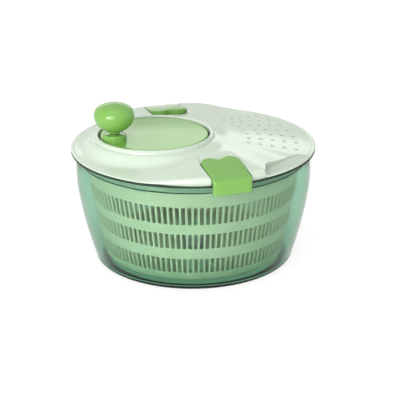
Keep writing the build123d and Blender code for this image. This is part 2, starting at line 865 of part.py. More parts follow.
def make_rear_clip():
    reach_in = clip_inner_reach
    flap_low = lid_bottom - clip_flap_bottom
    lip_top_level = flap_low + clip_lip_height
    lip_reach = clip_flap_inner - clip_lip
    plate_under = lid_bottom + clip_under_rim
    barrel_radius = clip_pin_radius + running_fit + clip_barrel_wall
    behind_pin = clip_pin_reach + barrel_radius
    before_pin = clip_pin_reach - barrel_radius
    end_low = clip_top(reach_in) - clip_end_depth
    outline = Polyline(
        (reach_in, clip_top(reach_in)),
        (clip_outer, clip_top(clip_outer)),
        (clip_outer, flap_low),
        (lip_reach, flap_low),
        (lip_reach, lip_top_level),
        (clip_flap_inner, lip_top_level + clip_lip),
        (clip_flap_inner, plate_under),
        (behind_pin, plate_under),
        (behind_pin, clip_pin_height),
        (before_pin, clip_pin_height),
        (reach_in, end_low),
        close=True,
    )
    side = make_face(outline)
    edge = side.vertices().sort_by_distance(Vector(clip_outer, clip_top(clip_outer)))[0]
    side = fillet(edge, clip_corner_round)
    clip = raised(clip_plan(0), 0, beyond) & side_prism(side, beyond)
    room = make_face(
        Polyline(
            (reach_in, clip_top(reach_in) - clip_plate),
            (before_pin - clip_skirt, clip_top(before_pin) - clip_plate),
            (before_pin - clip_skirt, 0),
            (reach_in, 0),
            close=True,
        )
    )
    clip -= raised(clip_plan(-clip_skirt), 0, beyond) & side_prism(room, beyond)
    clip += cross_rod(barrel_radius, clip_width, clip_pin_reach, clip_pin_height)
    return clip - cross_rod(clip_pin_radius + running_fit, beyond, clip_pin_reach, clip_pin_height)


def make_rear_clip_pin():
    length = clip_width + 2 * (clip_side_gap + pocket_wall)
    return cross_rod(clip_pin_radius, length, clip_pin_reach, clip_pin_height)


def make_rear_clip_spring():
    """A bent leaf: a foot on the pocket's floor and an arm up to the clip's underside."""
    foot_level = pocket_floor_top + spring_thickness / 2
    foot_start = clip_pin_reach - spring_foot_inset
    bend = foot_start - spring_foot_length
    tip_reach = bend - spring_rise_length
    tip_level = clip_top(tip_reach) - clip_plate - loose_gap - spring_thickness
    middle = (tip_reach + spring_bow, (foot_level + tip_level) / 2)
    foot = Line((foot_start, foot_level), (bend, foot_level))
    arm = ThreePointArc((bend, foot_level), middle, (tip_reach, tip_level))
    return side_prism(trace(foot + arm, spring_thickness), spring_width)


rear_clip = make_rear_clip()
rear_clip_pin = make_rear_clip_pin()
rear_clip_spring = make_rear_clip_spring()

pieces = {
    "bowl": make_bowl(),
    "bowl_pivot_pin": make_pivot_pin(),
    "non_slip_ring": make_non_slip_ring(),
    "basket": make_basket(),
    "basket_hub_bush": make_basket_bush(),
    "lid": make_lid(),
    "rim_seal": make_rim_seal(),
    "gear_cover": make_gear_cover(),
    "gear_cover_screws": make_gear_cover_screws(),
    "crank_bush": make_crank_bush(),
    "driver_bush": make_driver_bush(),
    "front_clip_pin": front * rear_clip_pin,
    "rear_clip_pin": rear_clip_pin,
    "front_clip_spring": front * rear_clip_spring,
    "rear_clip_spring": rear_clip_spring,
    "crank_disc": make_crank_disc(),
    "crank_gear": make_crank_gear(),
    "crank_washer": make_washer(),
    "crank_screw": make_crank_screw(),
    "knob_stud": make_knob_stud(),
    "knob_collar": make_knob_collar(),
    "knob_cap": make_knob_cap(),
    "drive_pinion": make_drive_pinion(),
    "driver_spider": make_driver_spider(),
    "driver_screw": make_driver_screw(),
    "front_clip": front * rear_clip,
    "rear_clip": rear_clip,
}

os.makedirs("parts", exist_ok=True)
for name, piece in pieces.items():
    export_step(piece, f"parts/{name}.step")
    print(name, round(piece.volume / 1000, 2), "cm3")
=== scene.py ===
# %% [markdown]
# # A hand-cranked salad spinner
#
# The spinner is a clear green bowl, a slotted basket that turns inside it, and a pale lid with
# a crank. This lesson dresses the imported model: every shape that shows is built again as a smooth
# mesh with rounded edges, and each gets a material that starts from the real plastic, rubber or
# steel. All lengths are in metres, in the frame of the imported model, so nothing has to be fitted.

# %% Load the frame
import math

import bmesh
import bpy
from mathutils import Matrix, Vector


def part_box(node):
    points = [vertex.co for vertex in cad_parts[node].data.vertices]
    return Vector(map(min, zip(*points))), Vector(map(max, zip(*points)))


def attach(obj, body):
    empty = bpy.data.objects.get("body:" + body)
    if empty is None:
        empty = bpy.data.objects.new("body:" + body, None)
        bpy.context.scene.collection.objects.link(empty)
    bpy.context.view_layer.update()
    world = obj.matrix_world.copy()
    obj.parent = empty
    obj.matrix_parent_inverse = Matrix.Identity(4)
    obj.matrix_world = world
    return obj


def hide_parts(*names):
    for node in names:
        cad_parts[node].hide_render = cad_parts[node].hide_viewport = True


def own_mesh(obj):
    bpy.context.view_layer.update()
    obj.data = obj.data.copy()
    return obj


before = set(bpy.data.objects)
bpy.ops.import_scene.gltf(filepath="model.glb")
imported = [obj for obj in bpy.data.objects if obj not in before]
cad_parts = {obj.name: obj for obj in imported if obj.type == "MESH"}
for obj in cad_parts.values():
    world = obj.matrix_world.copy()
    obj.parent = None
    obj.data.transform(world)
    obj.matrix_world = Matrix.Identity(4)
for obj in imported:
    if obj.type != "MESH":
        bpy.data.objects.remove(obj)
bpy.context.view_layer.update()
mm = 0.001

# %% [markdown]
# ## Measures from the frame
#
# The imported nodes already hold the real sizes. Reading a box gives a radius or a level, so the
# mesh that stands for a node keeps its place even if the model is built again at another size.

# %% Read the main levels and radii
bowl_low, bowl_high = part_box("bowl")
basket_low, basket_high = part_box("basket")
lid_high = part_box("lid")[1]
disc_low, disc_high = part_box("crank_disc")
cap_low, cap_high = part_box("knob_cap")
collar_low, collar_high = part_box("knob_collar")
clip_low, clip_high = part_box("rear_clip")
pin_low, pin_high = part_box("rear_clip_pin")

lid_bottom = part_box("rim_seal")[1].z
lid_radius = lid_high.x
lip_top = lid_high.z
crank_x = (disc_low.x + disc_high.x) / 2
disc_radius = (disc_high.x - disc_low.x) / 2
knob_x = (cap_low.x + cap_high.x) / 2
knob_y = (cap_low.y + cap_high.y) / 2
print("lid radius", round(lid_radius / mm, 1), "crank at", round(crank_x / mm, 1), "mm")

# %% [markdown]
# ## Small helpers
#
# Most of the pieces are turned or moulded, so three helpers do most of the work: one samples an
# arc, one rounds the corners of an outline, and one turns an outline about an upright axis.


# %% Outlines
def arc(centre, wide, tall, start, end, steps=10):
    """Points of an upright ellipse arc between two angles in degrees."""
    points = []
    for step in range(steps + 1):
        angle = math.radians(start + (end - start) * step / steps)
        points.append((centre[0] + wide * math.cos(angle), centre[1] + tall * math.sin(angle)))
    return points


def bow(start, end, bulge, steps=24):
    """Points of a shallow arc that swells to the right of its direction by bulge at its middle."""
    start, end = Vector(start), Vector(end)
    along = end - start
    side = Vector((along.y, -along.x)).normalized()
    points = []
    for step in range(steps + 1):
        share = step / steps
        swell = bulge * 4 * share * (1 - share)
        points.append(tuple(start + along * share + side * swell))
    return points


def rounded(corners, steps=5):
    """A closed outline from corners (radius, height, rounding), with each rounding as an arc."""
    line = []
    for index, (x, z, rounding) in enumerate(corners):
        here = Vector((x, z))
        if rounding == 0:
            line.append((x, z))
            continue
        back = (Vector(corners[index - 1][:2]) - here).normalized()
        ahead = (Vector(corners[(index + 1) % len(corners)][:2]) - here).normalized()
        half = back.angle(ahead) / 2
        middle = here + (back + ahead).normalized() * rounding / math.sin(half)
        first = here + back * rounding / math.tan(half) - middle
        last = here + ahead * rounding / math.tan(half) - middle
        turn = first.angle_signed(last)
        for step in range(steps + 1):
            angle = math.atan2(first.y, first.x) - turn * step / steps
            line.append((middle.x + rounding * math.cos(angle), middle.y + rounding * math.sin(angle)))
    return line

# %% Meshes
tiny = 0.001 * mm


def new_piece(name, mesh):
    """An object at the origin that shows a mesh."""
    piece = bpy.data.objects.new(name, mesh)
    bpy.context.scene.collection.objects.link(piece)
    return piece


def from_bmesh(name, shape):
    """A piece from an edited mesh, with doubles merged and faces turned outwards."""
    bmesh.ops.remove_doubles(shape, verts=shape.verts, dist=tiny)
    bmesh.ops.recalc_face_normals(shape, faces=shape.faces)
    mesh = bpy.data.meshes.new(name)
    shape.to_mesh(mesh)
    shape.free()
    return new_piece(name, mesh)


def turned(name, outline, centre=(0, 0), steps=192):
    """A shape turned about an upright axis. An outline that starts off the axis is a closed ring."""
    shape = bmesh.new()
    rings = []
    for radius, height in outline:
        if radius < tiny:
            rings.append([shape.verts.new((centre[0], centre[1], height))] * steps)
            continue
        ring = []
        for step in range(steps):
            angle = 2 * math.pi * step / steps
            x = centre[0] + radius * math.cos(angle)
            y = centre[1] + radius * math.sin(angle)
            ring.append(shape.verts.new((x, y, height)))
        rings.append(ring)
    pairs = list(zip(rings, rings[1:]))
    if outline[0][0] > tiny:
        pairs.append((rings[-1], rings[0]))
    for low, high in pairs:
        for step in range(steps):
            after = (step + 1) % steps
            corners = [low[step], low[after], high[after], high[step]]
            corners = list(dict.fromkeys(corners))
            if len(corners) > 2:
                shape.faces.new(corners)
    return from_bmesh(name, shape)


def stacked(name, rings):
    """A closed shape from rings of points, each ring with as many points, capped at both ends."""
    shape = bmesh.new()
    levels = [[shape.verts.new(point) for point in ring] for ring in rings]
    count = len(rings[0])
    for low, high in zip(levels, levels[1:]):
        for step in range(count):
            after = (step + 1) % count
            shape.faces.new([low[step], low[after], high[after], high[step]])
    shape.faces.new(levels[0])
    shape.faces.new(levels[-1])
    return from_bmesh(name, shape)


# %% Modifiers, cuts and shading
def settle(piece):
    """Turns a piece's modifiers into its plain mesh."""
    graph = bpy.context.evaluated_depsgraph_get()
    mesh = bpy.data.meshes.new_from_object(piece.evaluated_get(graph))
    piece.modifiers.clear()
    old = piece.data
    piece.data = mesh
    bpy.data.meshes.remove(old)


def combine(piece, tool, operation):
    """Joins a piece with a tool, or cuts the tool away, and removes the tool."""
    cut = piece.modifiers.new("cut", "BOOLEAN")
    cut.operation = operation
    cut.solver = "MANIFOLD"
    cut.object = tool
    settle(piece)
    bpy.data.objects.remove(tool)


def smooth(piece, degrees=32):
    """Smooth shading that stops at edges sharper than an angle."""
    piece.data.shade_smooth()
    piece.data.set_sharp_from_angle(angle=math.radians(degrees))


def dress(piece, finish):
    """Gives a piece its one finish and smooth shading."""
    piece.data.materials.clear()
    piece.data.materials.append(finish)
    smooth(piece)

# %% [markdown]
# ## Materials
#
# Nearly everything here is injection moulded. Such a surface is never quite even: its colour
# drifts a little where the melt flowed, its gloss varies, and it has a faint ripple like the skin
# of an orange. Noise textures give all three. Each size is written in millimetres and turned into
# a texture scale.

# %% Colour and node helpers
noise_low, noise_high = 0.3, 0.7


def linear(code):
    """A colour from its sRGB hex code, as linear red, green, blue and alpha."""
    channels = [int(code[start : start + 2], 16) / 255 for start in (1, 3, 5)]
    curve = [c / 12.92 if c <= 0.04045 else ((c + 0.055) / 1.055) ** 2.4 for c in channels]
    return (*curve, 1.0)


def per_metre(size_mm):
    """The scale of a texture whose features are so many millimetres wide."""
    return 1 / (size_mm * mm)


def add(tree, kind, values=None, links=None, **settings):
    """A node with its settings, socket values and links from other nodes' sockets."""
    node = tree.nodes.new(kind)
    for name, value in settings.items():
        setattr(node, name, value)
    for socket, value in (values or {}).items():
        node.inputs[socket].default_value = value
    for socket, source in (links or {}).items():
        tree.links.new(source, node.inputs[socket])
    return node


def empty_material(name):
    """A material with an empty tree. Returns it, its tree and its Object coordinates."""
    material = bpy.data.materials.new(name)
    material.use_nodes = True
    tree = material.node_tree
    tree.nodes.clear()
    return material, tree, add(tree, "ShaderNodeTexCoord").outputs["Object"]


# %% Two tones and a gloss
def two_tones(tree, vector, size_mm, detail, pale, deep):
    """Noise that mixes two tones. Returns the noise and the mixed colour, as sockets."""
    grain = {"Scale": per_metre(size_mm), "Detail": detail}
    noise = add(tree, "ShaderNodeTexNoise", grain, {"Vector": vector}).outputs["Fac"]
    ends = {"A": linear(pale), "B": linear(deep)}
    mix = add(tree, "ShaderNodeMix", ends, {"Factor": noise}, data_type="RGBA")
    return noise, mix.outputs["Result"]


def gloss_ends(gloss):
    """Values that spread the noise's usual range between two roughnesses."""
    return {"From Min": noise_low, "From Max": noise_high, "To Min": gloss[0], "To Max": gloss[1]}


def moulded(name, pale, deep, drift_mm, gloss, ripple_mm, ripple_depth_mm, ior):
    """Moulded plastic: a drift between two tones, uneven gloss and a faint ripple."""
    material, tree, place = empty_material(name)
    drift, tone = two_tones(tree, place, drift_mm, 3.0, pale, deep)
    sheen = add(tree, "ShaderNodeMapRange", gloss_ends(gloss), {"Value": drift})
    grain = {"Scale": per_metre(ripple_mm), "Detail": 1.0}
    ripple = add(tree, "ShaderNodeTexNoise", grain, {"Vector": place})
    depth = {"Strength": 1.0, "Distance": ripple_depth_mm * mm}
    bump = add(tree, "ShaderNodeBump", depth, {"Height": ripple.outputs["Fac"]})
    look = {"Base Color": tone, "Roughness": sheen.outputs["Result"], "Normal": bump.outputs["Normal"]}
    shader = add(tree, "ShaderNodeBsdfPrincipled", {"IOR": ior}, look)
    add(tree, "ShaderNodeOutputMaterial", None, {"Surface": shader.outputs["BSDF"]})
    return material

# %% [markdown]
# ### Clear green styrene, for the bowl
#
# The bowl is clear styrene plastic from a polished mould. Its green sits in the thickness, not on
# the surface, so a thin wall looks pale and an edge looks deep green. An absorbing volume inside a
# glassy surface gives just that. The tint is stated as what is left of white light after a depth.
# The bottom of the bowl stands in shade, so the surface has painted shade there: a darker tone
# at the base that fades out with height. The index is set lower than styrene's own, about 1.58,
# so that the sides mirror little and the basket stays clear to see.

# %% Clear green styrene
bowl_tint = linear("#c1e0cf")
bowl_tint_depth = 3 * mm
# Painted shade: the bowl's surface takes this darker tone near its base, fading out between the two
# heights below.
bowl_base_shade = linear("#d2e1d9")
base_shade_low = 4 * mm
base_shade_high = 45 * mm
bowl_flow_mm = 45
bowl_gloss = (0.08, 0.13)
bowl_index = 1.25


def clear_styrene(name, tint, depth, deep):
    """A glassy surface round a volume that lets through a tint of white, with painted shade near the
    base.
    """
    material, tree, place = empty_material(name)
    strengths = [-math.log(channel) / depth for channel in tint[:3]]
    density = max(strengths)
    grain = {"Scale": per_metre(bowl_flow_mm), "Detail": 2.0}
    flow = add(tree, "ShaderNodeTexNoise", grain, {"Vector": place})
    ends = {"To Min": bowl_gloss[0], "To Max": bowl_gloss[1]}
    gloss = add(tree, "ShaderNodeMapRange", ends, {"Value": flow.outputs["Fac"]})
    # The deep tone is painted shade at the base, fading out with height.
    height = {"Value": add(tree, "ShaderNodeSeparateXYZ", None, {"Vector": place}).outputs["Z"]}
    ends = {"From Min": base_shade_low, "From Max": base_shade_high}
    shade_fade = add(tree, "ShaderNodeMapRange", ends, height, interpolation_type="SMOOTHSTEP")
    ends = {"A": deep, "B": (1, 1, 1, 1)}
    tone = add(tree, "ShaderNodeMix", ends, {"Factor": shade_fade.outputs["Result"]}, data_type="RGBA")
    look = {"Base Color": tone.outputs["Result"], "Roughness": gloss.outputs["Result"]}
    glass = {"IOR": bowl_index, "Transmission Weight": 1.0}
    shader = add(tree, "ShaderNodeBsdfPrincipled", glass, look)
    inside = {"Color": (*(1 - s / density for s in strengths), 1), "Density": density}
    volume = add(tree, "ShaderNodeVolumeAbsorption", inside)
    sockets = {"Surface": shader.outputs["BSDF"], "Volume": volume.outputs["Volume"]}
    add(tree, "ShaderNodeOutputMaterial", None, sockets)
    return material


bowl_plastic = clear_styrene("clear_green_styrene", bowl_tint, bowl_tint_depth, bowl_base_shade)
print("bowl plastic", bowl_plastic.name)

# %% [markdown]
# ### Moulded plastics
#
# Polished ABS makes the lid, the crank and the clips shine. The basket is polypropylene, which is
# softer and more satin. Bushes and gears are acetal, a dense milky plastic with a dull gloss.
# The seal and the foot ring are dark rubber, which hardly shines; the seal's dark is partly painted
# shade.

# %% Moulded plastics
# Each row gives a name, two tones, the drift's width in mm, the gloss from and to, the ripple's
# width and depth in mm, and the index.
lid_plastic = moulded("polished_mint_abs", "#bfcabb", "#b6c4b2", 70, (0.10, 0.17), 9, 0.010, 1.52)
green_plastic = moulded("polished_leaf_abs", "#72a44b", "#6a9b44", 40, (0.08, 0.15), 7, 0.008, 1.52)
basket_plastic = moulded("satin_polypropylene", "#f9efdb", "#f3e8d2", 60, (0.28, 0.40), 3, 0.010, 1.49)
inner_plastic = moulded("inner_polypropylene", "#d3e2d2", "#c8dac8", 50, (0.32, 0.45), 3, 0.012, 1.49)
bush_plastic = moulded("milky_acetal", "#efede3", "#e4e1d4", 12, (0.30, 0.42), 1.5, 0.010, 1.48)
gear_plastic = moulded("gear_acetal", "#e6e8dc", "#dadccd", 16, (0.32, 0.45), 1.5, 0.012, 1.48)
# The seal's dark rubber doubles as painted shade under the lid's rim.
seal_rubber_and_shade = moulded("dark_seal_rubber", "#1b2f24", "#13241b", 8, (0.50, 0.70), 0.8, 0.020, 1.52)
foot_rubber = moulded("dark_foot_rubber", "#22392d", "#182c22", 8, (0.55, 0.75), 0.8, 0.020, 1.52)
print("plastics", lid_plastic.name, green_plastic.name, basket_plastic.name, seal_rubber_and_shade.name)

# %% [markdown]
# ### Steel
#
# Pins, screws and springs are steel. Grinding or rolling leaves fine lines along one direction, so
# the noise is squeezed across the part: the lines then shift the gloss rather than the colour.

# %% Steel
line_stretch = 0.15


def drawn_steel(name, bright, dull, line_mm, gloss):
    """Steel with fine lines round its axis, drawn wide enough to show."""
    material, tree, place = empty_material(name)
    squeeze = {"Scale": (line_stretch, line_stretch, 1.0)}
    along = add(tree, "ShaderNodeMapping", squeeze, {"Vector": place}).outputs["Vector"]
    lines, tone = two_tones(tree, along, line_mm, 2.0, bright, dull)
    sheen = add(tree, "ShaderNodeMapRange", gloss_ends(gloss), {"Value": lines})
    look = {"Base Color": tone, "Roughness": sheen.outputs["Result"]}
    shader = add(tree, "ShaderNodeBsdfPrincipled", {"Metallic": 1.0}, look)
    add(tree, "ShaderNodeOutputMaterial", None, {"Surface": shader.outputs["BSDF"]})
    return material


ground_steel = drawn_steel("ground_steel", "#d3d4d3", "#bfc1c0", 0.4, (0.18, 0.30))
plated_steel = drawn_steel("plated_screw_steel", "#cdcdd0", "#b4b5b8", 0.5, (0.22, 0.34))
rolled_steel = drawn_steel("rolled_spring_steel", "#babdc2", "#a2a5ab", 0.6, (0.28, 0.40))
print("steels", ground_steel.name, plated_steel.name, rolled_steel.name)

# %% [markdown]
# ## The bowl
#
# The bowl is a turned shape: a flat base on a rubber ring, a soft corner, and a wall that swells a
# little and leans in at the rim. One outline runs up the outside and down the inside, so the wall
# has its real thickness and bends light as the real one does.

# %% Bowl
foot_level = bowl_low.z
rim_level = bowl_high.z
rim_band_radius = bowl_high.x
rim_band = 2.6 * mm
wall_radius = rim_band_radius - rim_band
bowl_wall = 2.2 * mm
base_radius = 103.2 * mm
foot_radius = 97.0 * mm
corner_top = 7.0 * mm
shoulder_level = 84.0 * mm
wall_bulge = 2.0 * mm
wall_lean_level = 100.0 * mm
wall_lean = 1.2 * mm
wall_bend = 40.0 * mm
rim_round = 1.0 * mm
rim_inner_round = 0.8 * mm
floor_top = foot_level + 3.0 * mm
ring_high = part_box("non_slip_ring")[1]
ring_width = 6.5 * mm
pivot_low, pivot_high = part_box("bowl_pivot_pin")
pivot_boss_radius = 5.0 * mm
pivot_stands = 7.5 * mm
pivot_boss_top = pivot_high.z - pivot_stands
pivot_boss_foot = 1.5 * mm
pivot_boss_round = 0.6 * mm


def sharp(points):
    """Outline points that keep their corners."""
    return [(x, z, 0) for x, z in points]


def make_bowl():
    groove_inner = ring_high.x - ring_width
    inner = wall_radius - bowl_wall
    outline = sharp([(0, foot_level), (groove_inner, foot_level), (groove_inner, ring_high.z)])
    outline += sharp([(ring_high.x, ring_high.z), (ring_high.x, foot_level)])
    corner = (foot_radius, corner_top)
    outline += sharp(arc(corner, base_radius - foot_radius, corner_top - foot_level, 270, 360))
    outline += sharp(bow((base_radius, corner_top), (wall_radius, shoulder_level), wall_bulge)[1:])
    outline += [
        (wall_radius, wall_lean_level, wall_bend),
        (wall_radius - wall_lean, rim_level, rim_round),
        (inner - wall_lean, rim_level, rim_inner_round),
        (inner, wall_lean_level, wall_bend),
    ]
    inner_base = base_radius - bowl_wall
    outline += sharp(bow((inner, shoulder_level), (inner_base, corner_top), -wall_bulge))
    outline += sharp(arc(corner, inner_base - foot_radius, corner_top - floor_top, 360, 270)[1:])
    outline += [
        (pivot_boss_radius, floor_top, pivot_boss_foot),
        (pivot_boss_radius, pivot_boss_top, pivot_boss_round),
        (pivot_high.x, pivot_boss_top, 0),
        (pivot_high.x, pivot_low.z, 0),
        (0, pivot_low.z, 0),
    ]
    return turned("bowl_shell", rounded(outline), steps=256)


bowl = make_bowl()
dress(bowl, bowl_plastic)
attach(bowl, "bowl")
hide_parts("bowl")
print("bowl faces", len(bowl.data.polygons))

# %% [markdown]
# ## The basket
#
# The basket's wall is one slot and its two half bars, repeated round the axis. So one cell is
# drawn, and Geometry Nodes turn it into a ring: a line of points gives the count, each
# copy is turned by its index, and the copies are merged where they meet. The floor is made by the
# same tree from a cell with one radial slot.


# %% Trees, in and out
def new_tree(name, kinds):
    """A Geometry Nodes tree with a mesh in and out. Returns it and its other inputs by label."""
    tree = bpy.data.node_groups.new(name, "GeometryNodeTree")
    face = tree.interface
    face.new_socket("Geometry", in_out="INPUT", socket_type="NodeSocketGeometry")
    inputs = {}
    for label, kind in kinds.items():
        inputs[label] = face.new_socket(label, in_out="INPUT", socket_type="NodeSocket" + kind)
    face.new_socket("Geometry", in_out="OUTPUT", socket_type="NodeSocketGeometry")
    return tree, inputs


def end_tree(tree, mesh, finish):
    """Ends a tree with a finish and its output."""
    painted = add(tree, "GeometryNodeSetMaterial", None, {"Geometry": mesh, "Material": finish})
    add(tree, "NodeGroupOutput", None, {"Geometry": painted.outputs["Geometry"]})


def run_tree(piece, tree, inputs, values):
    """Runs a tree on a piece, and keeps what it makes as a plain mesh."""
    run = piece.modifiers.new(tree.name, "NODES")
    run.node_group = tree
    for label, value in values.items():
        run[inputs[label].identifier] = value
    settle(piece)


# %% Ring of cells, as Geometry Nodes
weld_distance = 0.01 * mm


def ring_tree():
    """A tree that repeats its mesh round the upright axis. Returns it with its inputs."""
    kinds = {"Count": "Int", "Weld Distance": "Float", "Finish": "Material"}
    tree, inputs = new_tree("ring_of_cells", kinds)
    given = add(tree, "NodeGroupInput").outputs
    count = given["Count"]
    points = add(tree, "GeometryNodeMeshLine", {"Offset": (0, 0, 0)}, {"Count": count})
    index = add(tree, "GeometryNodeInputIndex")
    pitch = add(tree, "ShaderNodeMath", {0: 2 * math.pi}, {1: count}, operation="DIVIDE")
    factors = {0: index.outputs["Index"], 1: pitch.outputs["Value"]}
    turn = add(tree, "ShaderNodeMath", None, factors, operation="MULTIPLY")
    spin = add(tree, "ShaderNodeCombineXYZ", None, {"Z": turn.outputs["Value"]})
    links = {"Points": points.outputs["Mesh"], "Instance": given["Geometry"]}
    links["Rotation"] = spin.outputs["Vector"]
    copies = add(tree, "GeometryNodeInstanceOnPoints", None, links).outputs["Instances"]
    real = add(tree, "GeometryNodeRealizeInstances", None, {"Geometry": copies})
    links = {"Geometry": real.outputs["Geometry"], "Distance": given["Weld Distance"]}
    joined = add(tree, "GeometryNodeMergeByDistance", None, links)
    end_tree(tree, joined.outputs["Geometry"], given["Finish"])
    return tree, inputs


ring_of_cells, ring_inputs = ring_tree()


def repeat_round(cell, count, finish):
    """Turns a cell into a full ring of copies, as a plain mesh."""
    values = {"Count": count, "Weld Distance": weld_distance, "Finish": finish}
    run_tree(cell, ring_of_cells, ring_inputs, values)


print("ring inputs", list(ring_inputs))

# %% Basket wall
slot_count = 112
slot_share = 0.65
slot_rows = ((16.5 * mm, 32.1 * mm), (43.7 * mm, 60.0 * mm), (70.9 * mm, 89.7 * mm))
basket_wall = 2.0 * mm
basket_corner = 6.0 * mm
basket_base_radius = 93.5 * mm
basket_bottom = basket_low.z
basket_top = basket_high.z
basket_top_radius = basket_high.x
basket_floor_top = basket_bottom + 2.0 * mm
floor_ring_radius = 71.0 * mm


def basket_radius(height):
    """Outer radius of the basket's sloping wall."""
    wall_bottom = basket_bottom + basket_corner
    share = (height - wall_bottom) / (basket_top - wall_bottom)
    return basket_base_radius + share * (basket_top_radius - basket_base_radius)


def wall_rows():
    """The wall's outer and inner points from the floor ring up, and which rows are open slots."""
    foot = basket_base_radius - basket_corner
    corner_level = basket_bottom + basket_corner
    thin = basket_corner - basket_wall
    outer = [(floor_ring_radius, basket_bottom)]
    inner = [(floor_ring_radius, basket_floor_top)]
    outer += arc((foot, corner_level), basket_corner, corner_level - basket_bottom, 270, 360, 6)
    inner += arc((foot, corner_level), thin, corner_level - basket_floor_top, 270, 360, 6)
    open_rows = set()
    for low, high in slot_rows:
        open_rows.add(len(outer))
        for level in (low, high):
            outer.append((basket_radius(level), level))
            inner.append((basket_radius(level) - basket_wall, level))
    round_rim = 0.7 * mm
    for radius, level in ((0, round_rim), (0.2 * mm, 0.2 * mm), (round_rim, 0)):
        outer.append((basket_top_radius - radius, basket_top - level))
        inner.append((basket_top_radius - basket_wall + radius, basket_top - level))
    return outer, inner, open_rows


# %% Slots of the basket's wall
def make_wall_cell():
    """One slot of the basket's wall, in three rows, with half a bar on each side."""
    outer, inner, open_rows = wall_rows()
    pitch = 2 * math.pi / slot_count
    angles = (-pitch / 2, -pitch * slot_share / 2, pitch * slot_share / 2, pitch / 2)
    shape = bmesh.new()

    def column(points, angle):
        turn = Matrix.Rotation(angle, 3, "Z")
        return [shape.verts.new(turn @ Vector((radius, 0, level))) for radius, level in points]

    outside = [column(outer, angle) for angle in angles]
    inside = [column(inner, angle) for angle in angles]
    rows = len(outer)
    for row in range(rows - 1):
        for side in range(3):
            if row in open_rows and side == 1:
                continue
            for skin in (outside, inside):
                left, right = skin[side], skin[side + 1]
                shape.faces.new([left[row], right[row], right[row + 1], left[row + 1]])
    for row in open_rows:
        for side in (1, 2):
            out, back = outside[side], inside[side]
            shape.faces.new([out[row], out[row + 1], back[row + 1], back[row]])
        for level in (row, row + 1):
            out, back = outside[1][level], inside[1][level]
            shape.faces.new([out, outside[2][level], inside[2][level], back])
    for side in range(3):
        for end in (0, rows - 1):
            corners = [outside[side][end], outside[side + 1][end]]
            shape.faces.new(corners + [inside[side + 1][end], inside[side][end]])
    return from_bmesh("basket_shell", shape)


basket = make_wall_cell()
repeat_round(basket, slot_count, basket_plastic)
print("basket wall faces", len(basket.data.polygons))

# %% Basket floor
floor_slot_count = 36
floor_slot_width = 3.0 * mm
floor_slot_start = 30.0 * mm
floor_slot_end = 68.0 * mm
floor_overlap = 0.1 * mm
floor_lap = 1.0 * mm
bush_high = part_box("basket_hub_bush")[1]


def make_floor_cell():
    """One radial slot of the basket's floor, with half a rib on each side."""
    half = math.pi / floor_slot_count
    levels = (basket_bottom + floor_overlap, basket_floor_top - floor_overlap)
    radii = (bush_high.x, floor_slot_start, floor_slot_end, floor_ring_radius + floor_lap)
    shape = bmesh.new()

    def spots(radius, level):
        across = floor_slot_width / 2
        along = math.sqrt(radius**2 - across**2)
        plan = [
            (radius * math.cos(half), -radius * math.sin(half)),
            (along, -across),
            (along, across),
            (radius * math.cos(half), radius * math.sin(half)),
        ]
        return [shape.verts.new((x, y, level)) for x, y in plan]

    low, high = [[spots(radius, level) for radius in radii] for level in levels]
    for ring in range(3):
        for side in range(3):
            if ring == 1 and side == 1:
                continue
            for skin in (low, high):
                near, far = skin[ring], skin[ring + 1]
                shape.faces.new([near[side], far[side], far[side + 1], near[side + 1]])
    for side in (1, 2):
        shape.faces.new([low[1][side], low[2][side], high[2][side], high[1][side]])
    for ring in (1, 2):
        shape.faces.new([low[ring][1], low[ring][2], high[ring][2], high[ring][1]])
    for ring in (0, 3):
        for side in range(3):
            under, over = low[ring], high[ring]
            shape.faces.new([under[side], under[side + 1], over[side + 1], over[side]])
    return from_bmesh("basket_floor", shape)


basket_floor = make_floor_cell()
repeat_round(basket_floor, floor_slot_count, basket_plastic)
print("basket floor faces", len(basket_floor.data.polygons))

# %% Basket hub and notches
hub_wall = 2.4 * mm
hub_round = 0.8 * mm
lug_count = 4
lug_first_angle = math.radians(45)
lug_notch_width = 12.6 * mm
lug_notch_reach = 7.0 * mm
lug_notch_gap = 0.3 * mm
spider_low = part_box("driver_spider")[0]


def make_hub():
    bore = bush_high.x
    hub_radius = bore + hub_wall
    hub_top = bush_high.z + hub_wall
    outline = [
        (bore, basket_bottom, 0),
        (hub_radius, basket_bottom, 0),
        (hub_radius, hub_top, hub_round),
        (0, hub_top, 0),
        (0, bush_high.z, 0),
        (bore, bush_high.z, 0),
    ]
    ring = rounded(outline)
    start = ring.index((0, hub_top))
    ring = ring[start + 1 :] + ring[: start + 1]
    return turned("basket_hub", ring, steps=64)


def make_notches():
    """Blocks that cut the driver's notches into the basket's rim."""
    shape = bmesh.new()
    for lug in range(lug_count):
        angle = lug_first_angle + lug * 2 * math.pi / lug_count
        height = 2 * (basket_top - spider_low.z + lug_notch_gap)
        size = Matrix.Diagonal((2 * lug_notch_reach, lug_notch_width, height, 1))
        place = Matrix.Translation((basket_top_radius, 0, basket_top))
        bmesh.ops.create_cube(shape, size=1, matrix=Matrix.Rotation(angle, 4, "Z") @ place @ size)
    return from_bmesh("notches", shape)


combine(basket, basket_floor, "UNION")
combine(basket, make_hub(), "UNION")
combine(basket, make_notches(), "DIFFERENCE")
smooth(basket)
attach(basket, "basket")
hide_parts("basket")
print("basket faces", len(basket.data.polygons))

# %% [markdown]
# ## The lid
#
# The lid is a shallow dome with a fine groove inside its rounded rim. The rim is undercut, so that
# the seal shows below it. The face rises to a broad pad by each clip, with a finger scoop at the
# clip's inner end, and in a soft curve to the crank's well. A fan-shaped panel sinks a little under
# the drain holes. Such forms could be sculpted, but each follows a simple rule. So the dome is
# turned as a shell with many rings, and one function of place gives its points their height.

